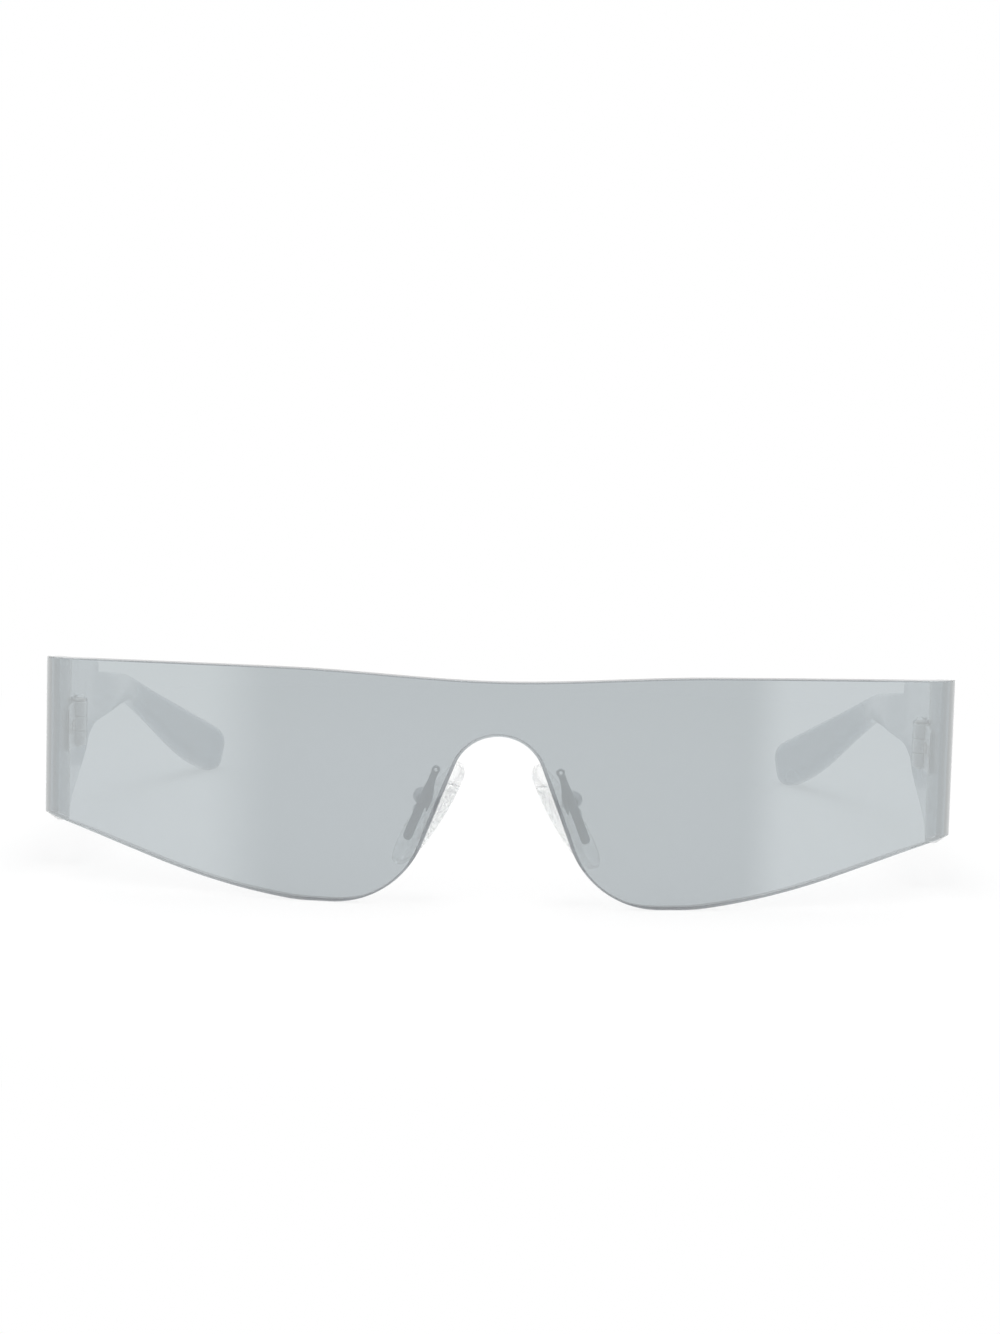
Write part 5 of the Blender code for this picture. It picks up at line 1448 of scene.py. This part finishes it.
    def build_box(self, finishes: Finishes) -> None:
        """Builds the slotted drum as two cheeks and a C-shaped middle, and the screw through it.

        Args:
            finishes: the finishes.
        """
        word, half, slot = self.side.word, self.box_length / 2, self.slot / 2
        disc = whole_circle(56, self.box_radius)
        opening = math.pi - math.asin(self.slot_half_height / self.box_radius)
        rim = circle(np.linspace(-opening, opening, 48), self.box_radius)
        deep = self.box_radius - self.back_wall
        channel = np.concatenate([rim, [(deep, self.slot_half_height), (deep, -self.slot_half_height)]])
        reach = slot + self.overlap
        box = made(f"round_pad_box_{word}", [
            plate(disc, -half, -slot, self.edge, self.box_axes),
            plate(channel, -reach, reach, self.overlap / 2, self.box_axes),
            plate(disc, slot, half, self.edge, self.box_axes),
        ], self.side)
        settled(box, finishes.box, "front", f"pad_box_{word}")
        shank = [(self.screw_radius, -half), (self.screw_radius, half + self.screw_gap)]
        screw = made(f"pad_box_screw_{word}", headed_screw(
            shank, self.screw_head, self.screw_head_height, self.screw_axes), self.side, HARD_CREASE)
        settled(screw, finishes.screw, "front", f"pad_screw_{word}")


@dataclass
class NosePad:
    """A clear silicone pad on a hard clear core, which rocks about the screw of the pad box."""

    bracket: NoseBracket
    length: float = 19.2 * MM
    width: float = 8.0 * MM
    thickness: float = 2.3 * MM
    back_edge: float = 0.25 * MM
    box_gap: float = 0.35 * MM
    low: float = 1.85 * MM
    rim: float = 0.6 * MM
    waist: float = 0.14
    crown_power: float = 0.4
    back_scales: tuple[float, float] = (0.02, 0.5)
    least_scale: float = 0.004
    closing_scale: float = 0.25
    core_length: float = 12.5 * MM
    core_width: float = 4.2 * MM
    core_round: float = 1.89 * MM
    core_thickness: float = 0.7 * MM
    core_edge: float = 0.1 * MM
    core_depth: float = 0.8 * MM
    tab_gap: float = 0.12 * MM
    tab_half: float = 0.75 * MM
    tab_past: float = 0.55 * MM
    tab_round: float = 0.3 * MM
    tab_edge: float = 0.08 * MM

    def rings(self) -> np.ndarray:
        """The pad in layers from its flat back: an egg-shaped outline, drawn in along a crowned profile.

        Returns:
            An array of layer, point and coordinate.
        """
        back = self.bracket.box_radius + self.box_gap
        turn, rise = quarter_turn(6), np.sin(quarter_turn(30))
        edge_scale = 1 - self.back_edge * (1 - np.sin(turn)) * 2 / self.width
        crown_scale = np.maximum(1 - rise**2, 0.0) ** self.crown_power
        scale = np.maximum(np.concatenate([self.back_scales, edge_scale, crown_scale]), self.least_scale)
        depth = np.concatenate([
            np.full(len(self.back_scales), back),
            back + self.back_edge * (1 - np.cos(turn)),
            back + self.rim + (self.thickness - self.rim) * rise,
        ])
        across, up = whole_circle(96).T[:, None]
        scale = scale[:, None]
        half_width = self.width / 2 * (1 - self.waist * up) * scale
        half_length = self.length / 2 - (1 - scale) * self.width / 2
        half_length = half_length * smoothstep(scale / self.closing_scale)
        across, level = half_width * across, half_length * up - self.low
        deep = np.broadcast_to(-depth[:, None], across.shape)
        return carried(np.stack([deep, across, level], -1), self.bracket.pad_axes)

    def build(self, finishes: Finishes) -> None:
        """Builds the silicone and the core with its tab.

        Args:
            finishes: the finishes.
        """
        side, axes = self.bracket.side, self.bracket.pad_axes
        word = side.word
        pad = made(f"silicone_pad_{word}", [lofted(self.rings())], side)
        pad.visible_shadow = False
        settled(pad, finishes.silicone, f"pad_{word}", f"nose_pad_{word}")
        centre = axes @ Vector((0.0, 0.0, -self.low))
        face = axes_at(centre, axes.col[1].xyz, axes.col[2].xyz, -axes.col[0].xyz)
        near = self.bracket.box_radius + self.box_gap + self.core_depth
        half_width, half_length = self.core_width / 2, self.core_length / 2
        oval = rounded_outline((-half_width, half_width), half_length, self.core_round, 12)
        tab_half = self.bracket.slot / 2 - self.tab_gap
        tab_reach = (-near - self.core_thickness / 2, self.tab_past)
        tab = rounded_outline(tab_reach, self.tab_half, self.tab_round, 8)
        core = made(f"pad_core_and_tab_{word}", [
            plate(oval, near, near + self.core_thickness, self.core_edge, face),
            plate(tab, -tab_half, tab_half, self.tab_edge, self.bracket.box_axes),
        ], side)
        core.visible_shadow = False
        settled(core, finishes.clear, f"pad_{word}", f"pad_core_{word}")


# The hinges


@dataclass
class Hinge:
    """A three-knuckle hinge: a leaf on the shield's return, a leaf in the panel, and their screws."""

    side: Side
    height: float = 7.2 * MM
    mid_height: float = 23.6 * MM
    knuckle: float = 1.25 * MM
    knuckle_gap: float = 0.12 * MM
    bore: float = 0.7 * MM
    chamfer: float = 0.1 * MM
    leaf_thickness: float = 0.8 * MM
    leaf_length: float = 9.2 * MM
    leaf_corner: float = 0.5 * MM
    leaf_edge: float = 0.1 * MM
    seat_gap: float = 0.12 * MM
    temple_toe: float = Temple.toe
    spots: tuple[float, float] = (0.36, 0.78)
    bolt: float = 0.55 * MM
    bolt_point: float = 0.39 * MM
    bolt_depth: float = 1.2 * MM
    point_length: float = 0.2 * MM
    bolt_gap: float = 0.05 * MM
    bolt_head: float = 1.0 * MM
    bolt_head_height: float = 0.32 * MM
    pin: float = 0.62 * MM
    pin_point: float = 0.5 * MM
    pin_past: float = 0.3 * MM
    pin_head: float = 1.05 * MM
    pin_head_height: float = 0.5 * MM

    def __post_init__(self) -> None:
        """Finds the fold axis, in the middle of the seam and just inside the panel."""
        self.y = PLAN.side_depth + PLAN.behind_seam(self.mid_height) + PLAN.seam_gap / 2
        run = PLAN.seam_run + (self.y - PLAN.side_depth) / math.cos(PLAN.toe)
        self.x = float(PLAN.at(run, PLAN.wall)[0]) - self.seat_gap - self.knuckle
        self.low, self.high = self.mid_height - self.height / 2, self.mid_height + self.height / 2
        self.upright = Matrix.Translation((self.x, self.y, 0.0))

    def leaf_axes(self, fore: bool) -> Matrix:
        """A leaf's frame on the fold axis: away from the axis, up, and inwards.

        Args:
            fore: whether it is the leaf on the shield's return.

        Returns:
            The leaf's frame.
        """
        toe = PLAN.toe if fore else self.temple_toe
        away = Vector((-math.sin(toe), math.cos(toe), 0.0)) * (-1 if fore else 1)
        return axes_at((self.x, self.y, 0.0), away, (0.0, 0.0, 1.0), (-math.cos(toe), -math.sin(toe), 0.0))

    def leaf(self, fore: bool, own: tuple[int, ...]) -> list[Skin]:
        """A leaf: its own knuckles, and a plate cut back where the other leaf's knuckles turn.

        Args:
            fore: whether it is the leaf on the shield's return.
            own: which of the three knuckles, from below, are its own.

        Returns:
            The skins of its knuckles and of its plate.
        """
        span = (self.height - 2 * self.knuckle_gap) / 3
        skins, steps = [], []
        for index in range(3):
            low = self.low + index * (span + self.knuckle_gap)
            high, edge = low + span, self.knuckle - self.chamfer
            start = 0.0 if index in own else self.knuckle + self.knuckle_gap
            steps += [(start, low), (start, high)]
            if index in own:
                skins.append(turned([
                    (self.bore, low), (edge, low), (self.knuckle, low + self.chamfer),
                    (self.knuckle, high - self.chamfer), (edge, high), (self.bore, high),
                ], self.upright, 40))
        far = [(self.leaf_length, self.low), (self.leaf_length, self.high)]
        outline = softened(np.array(far + steps[::-1]), self.leaf_corner, 6)
        top = -self.knuckle + self.leaf_thickness
        return skins + [plate(outline, -self.knuckle, top, self.leaf_edge, self.leaf_axes(fore))]

    def build_leaf(self, finishes: Finishes, stem: str, body: str, own: tuple[int, ...],
                   places: tuple[str, str]) -> None:
        """Builds one leaf and its two screws, whose frames start on the face that they bite.

        Args:
            finishes: the finishes.
            stem: front or temple, the first word of the nodes' names.
            body: the body that the leaf is fixed to.
            own: which of the three knuckles are its own.
            places: the names of its screws, from the fold axis outwards.
        """
        word, fore = self.side.word, stem == "front"
        leaf = made(f"{stem}_leaf_and_knuckles_{word}", self.leaf(fore, own), self.side, HARD_CREASE)
        settled(leaf, finishes.hinge, body, f"hinge_{stem}_leaf_{word}")
        seat = self.seat_gap + self.leaf_thickness + self.bolt_gap
        shank = [(self.bolt_point, -self.bolt_depth), (self.bolt, self.point_length - self.bolt_depth),
                 (self.bolt, seat)]
        for place, spot in zip(places, self.spots):
            bitten = Vector((self.leaf_length * spot, self.mid_height, -self.knuckle - self.seat_gap))
            axes = self.leaf_axes(fore) @ Matrix.Translation(bitten)
            bolt = made(f"{stem}_leaf_bolt_{place}_{word}", headed_screw(
                shank, self.bolt_head, self.bolt_head_height, axes), self.side, HARD_CREASE)
            settled(bolt, finishes.screw, body, f"{stem}_leaf_screw_{place}_{word}")

    def build(self, finishes: Finishes) -> None:
        """Builds both leaves with their screws, and the hinge screw.

        Args:
            finishes: the finishes.
        """
        word = self.side.word
        self.build_leaf(finishes, "front", "front", own=(1,), places=("aft", "fore"))
        self.build_leaf(finishes, "temple", f"temple_arm_{word}", own=(0, 2), places=("fore", "aft"))
        shank = [(self.pin_point, self.low - self.pin_past), (self.pin, self.low),
                 (self.pin, self.high + self.knuckle_gap)]
        pin = made(f"hinge_pin_{word}", headed_screw(
            shank, self.pin_head, self.pin_head_height, self.upright), self.side, HARD_CREASE)
        settled(pin, finishes.screw, "front", f"hinge_screw_{word}")


# The studio


@dataclass(frozen=True)
class DiscLamp:
    """A round area lamp that hangs over the glasses and shines straight down."""

    name: str
    place: tuple[float, float, float]
    size: float
    power: float

    def build(self) -> None:
        """Hangs the lamp, out of sight of gloss and glass, which see the room instead."""
        data = bpy.data.lights.new(self.name, "AREA")
        data.shape, data.size, data.energy = "DISK", self.size, self.power
        lamp = bpy.data.objects.new(self.name, data)
        lamp.location = self.place
        lamp.visible_glossy = lamp.visible_transmission = False
        bpy.context.scene.collection.objects.link(lamp)


@dataclass
class Studio:
    """A plain pale floor, soft light from above and a camera at the photograph's viewing angle."""

    focal: float = 93.06
    sensor: float = 36.0
    clip: tuple[float, float] = (0.01, 20.0)
    eye: tuple[float, float, float] = (0.58 * MM, -537.07 * MM, 105.71 * MM)
    yaw: float = math.radians(-0.080)
    pitch: float = math.radians(7.129)
    roll: float = math.radians(1.52)
    ambient: float = 0.75
    middle_tone: float = 0.636
    outer_tone: float = 0.83
    left_ramp: tuple[float, float] = (math.radians(-21.8), math.radians(-30.5))
    right_ramp: tuple[float, float] = (math.radians(24.2), math.radians(29.2))
    back_ramp: tuple[float, float] = (math.radians(80.0), math.radians(150.0))
    floor_colour: str = "#F4F4F4"
    floor_reach: float = 4.0
    glow: float = 0.66
    glow_ramp: tuple[float, float] = (0.09, 0.2)
    lamps: tuple[DiscLamp, ...] = (
        DiscLamp("overhead_softbox", (0.0, 0.05, 1.0), size=0.8, power=4.6),
        DiscLamp("overhead_key", (0.0, -0.05, 1.1), size=0.22, power=0.8),
    )

    def build_camera(self) -> None:
        """Places the camera by its yaw, its pitch and its roll."""
        data = bpy.data.cameras.new("studio_camera")
        data.lens, data.sensor_width, data.sensor_fit = self.focal, self.sensor, "AUTO"
        data.clip_start, data.clip_end = self.clip
        camera = bpy.data.objects.new("studio_camera", data)
        bpy.context.scene.collection.objects.link(camera)
        level = math.cos(self.pitch)
        forward = Vector((math.sin(self.yaw) * level, math.cos(self.yaw) * level, -math.sin(self.pitch)))
        right = Vector((math.cos(self.yaw), -math.sin(self.yaw), 0.0))
        up = right.cross(forward)
        rolled_right = right * math.cos(self.roll) + up * math.sin(self.roll)
        rolled_up = up * math.cos(self.roll) - right * math.sin(self.roll)
        eye = Vector(self.eye) + Vector((0.0, FRONT_Y, 0.0))
        camera.matrix_world = axes_at(eye, rolled_right, rolled_up, -forward)
        bpy.context.scene.camera = camera

    @staticmethod
    def straight_rays(wiring: Wiring) -> tuple[bpy.types.Node, bpy.types.NodeSocket]:
        """Tells the rays that see the background as it is: from the camera, straight or through glass.

        Args:
            wiring: the node tree.

        Returns:
            The Light Path node, and a socket that is 1 for those rays and 0 for others.
        """
        path = wiring.add("LightPath")
        rays = (path.outputs["Is Camera Ray"], path.outputs["Is Transmission Ray"])
        return path, wiring.maths("MAXIMUM", *rays)

    def build_room(self) -> None:
        """The room: white behind, and for gloss a greyer field on the camera's side of the room.

        The field's tone is a function of the direction's bearing alone: it rises over a few degrees at
        each side of the gap between the two soft boxes that flank the camera.
        """
        world = bpy.data.worlds.new("studio")
        bpy.context.scene.world = world
        wiring = Wiring(world)
        direction = wiring.add("TexCoord").outputs["Generated"]
        parts = wiring.add("SeparateXYZ", links={"Vector": direction}).outputs
        bearing = wiring.maths("ARCTAN2", parts["X"], wiring.maths("MULTIPLY", parts["Y"], -1.0))
        right_side, left_side = wiring.ramp(bearing, self.right_ramp), wiring.ramp(bearing, self.left_ramp)
        sides = wiring.maths("MAXIMUM", right_side, left_side)
        front = wiring.mapped(sides, (self.middle_tone, self.outer_tone))
        # Behind the glasses gloss sees the white background
        turn = wiring.maths("ABSOLUTE", bearing)
        behind = wiring.ramp(turn, self.back_ramp, (0.0, 1.0 - self.outer_tone))
        tone = wiring.maths("ADD", front, behind)
        room = wiring.add("Background", {"Color": linear(WHITE)}, {"Strength": tone})
        fill = wiring.add("Background", {"Color": linear(WHITE), "Strength": self.ambient})
        white = wiring.add("Background", {"Color": linear(WHITE), "Strength": 1.0})
        path, seen = self.straight_rays(wiring)
        glossy = wiring.add("MixShader", links={
            0: path.outputs["Is Glossy Ray"], 1: fill.outputs[0], 2: room.outputs[0],
        })
        mixed = wiring.add("MixShader", links={0: seen, 1: glossy.outputs[0], 2: white.outputs[0]})
        wiring.add("OutputWorld", links={"Surface": mixed.outputs[0]})

    def build_floor(self) -> None:
        """A pale floor that keeps the shadow, and runs into the white behind it by a glow.

        The share of the glow rises with the distance from the glasses, and shows to straight rays alone.
        """
        material = bpy.data.materials.new("white_studio_floor")
        wiring = Wiring(material)
        matt = wiring.add("BsdfDiffuse", {"Color": linear(self.floor_colour)})
        glow = wiring.add("Emission", {"Color": linear(WHITE), "Strength": 1.0})
        place = wiring.add("TexCoord").outputs["Object"]
        away = wiring.add("VectorMath", links={0: place}, operation="LENGTH").outputs["Value"]
        _, seen = self.straight_rays(wiring)
        share = wiring.maths("MULTIPLY", seen, wiring.ramp(away, self.glow_ramp, (self.glow, 1.0)))
        mixed = wiring.add("MixShader", links={0: share, 1: matt.outputs[0], 2: glow.outputs[0]})
        wiring.add("OutputMaterial", links={"Surface": mixed.outputs[0]})
        mesh = bpy.data.meshes.new("studio_floor")
        corners = np.array([(-1, -1, 0), (1, -1, 0), (1, 1, 0), (-1, 1, 0)]) * self.floor_reach
        mesh.from_pydata(corners.tolist(), [], [(0, 1, 2, 3)])
        mesh.materials.append(material)
        floor = bpy.data.objects.new("studio_floor", mesh)
        floor.visible_glossy = False
        bpy.context.scene.collection.objects.link(floor)

    def build(self) -> None:
        """Sets up the camera, the room, the floor and the lamps, and the plain view transform."""
        bpy.context.scene.view_settings.view_transform = "Standard"
        self.build_camera()
        self.build_room()
        self.build_floor()
        for lamp in self.lamps:
            lamp.build()


def main() -> None:
    """Builds the studio and every piece in order."""
    logging.basicConfig(level=logging.INFO, format="%(name)s: %(message)s")
    Studio().build()
    finishes = Finishes()
    ShieldLens().build(finishes)
    for side in Side:
        Temple(side).build(finishes)
        Hinge(side).build(finishes)
        bracket = NoseBracket(side)
        bracket.build_plate(finishes)
        bracket.build_arm(finishes)
        bracket.build_box(finishes)
        NosePad(bracket).build(finishes)


if __name__ == "__main__":
    main()
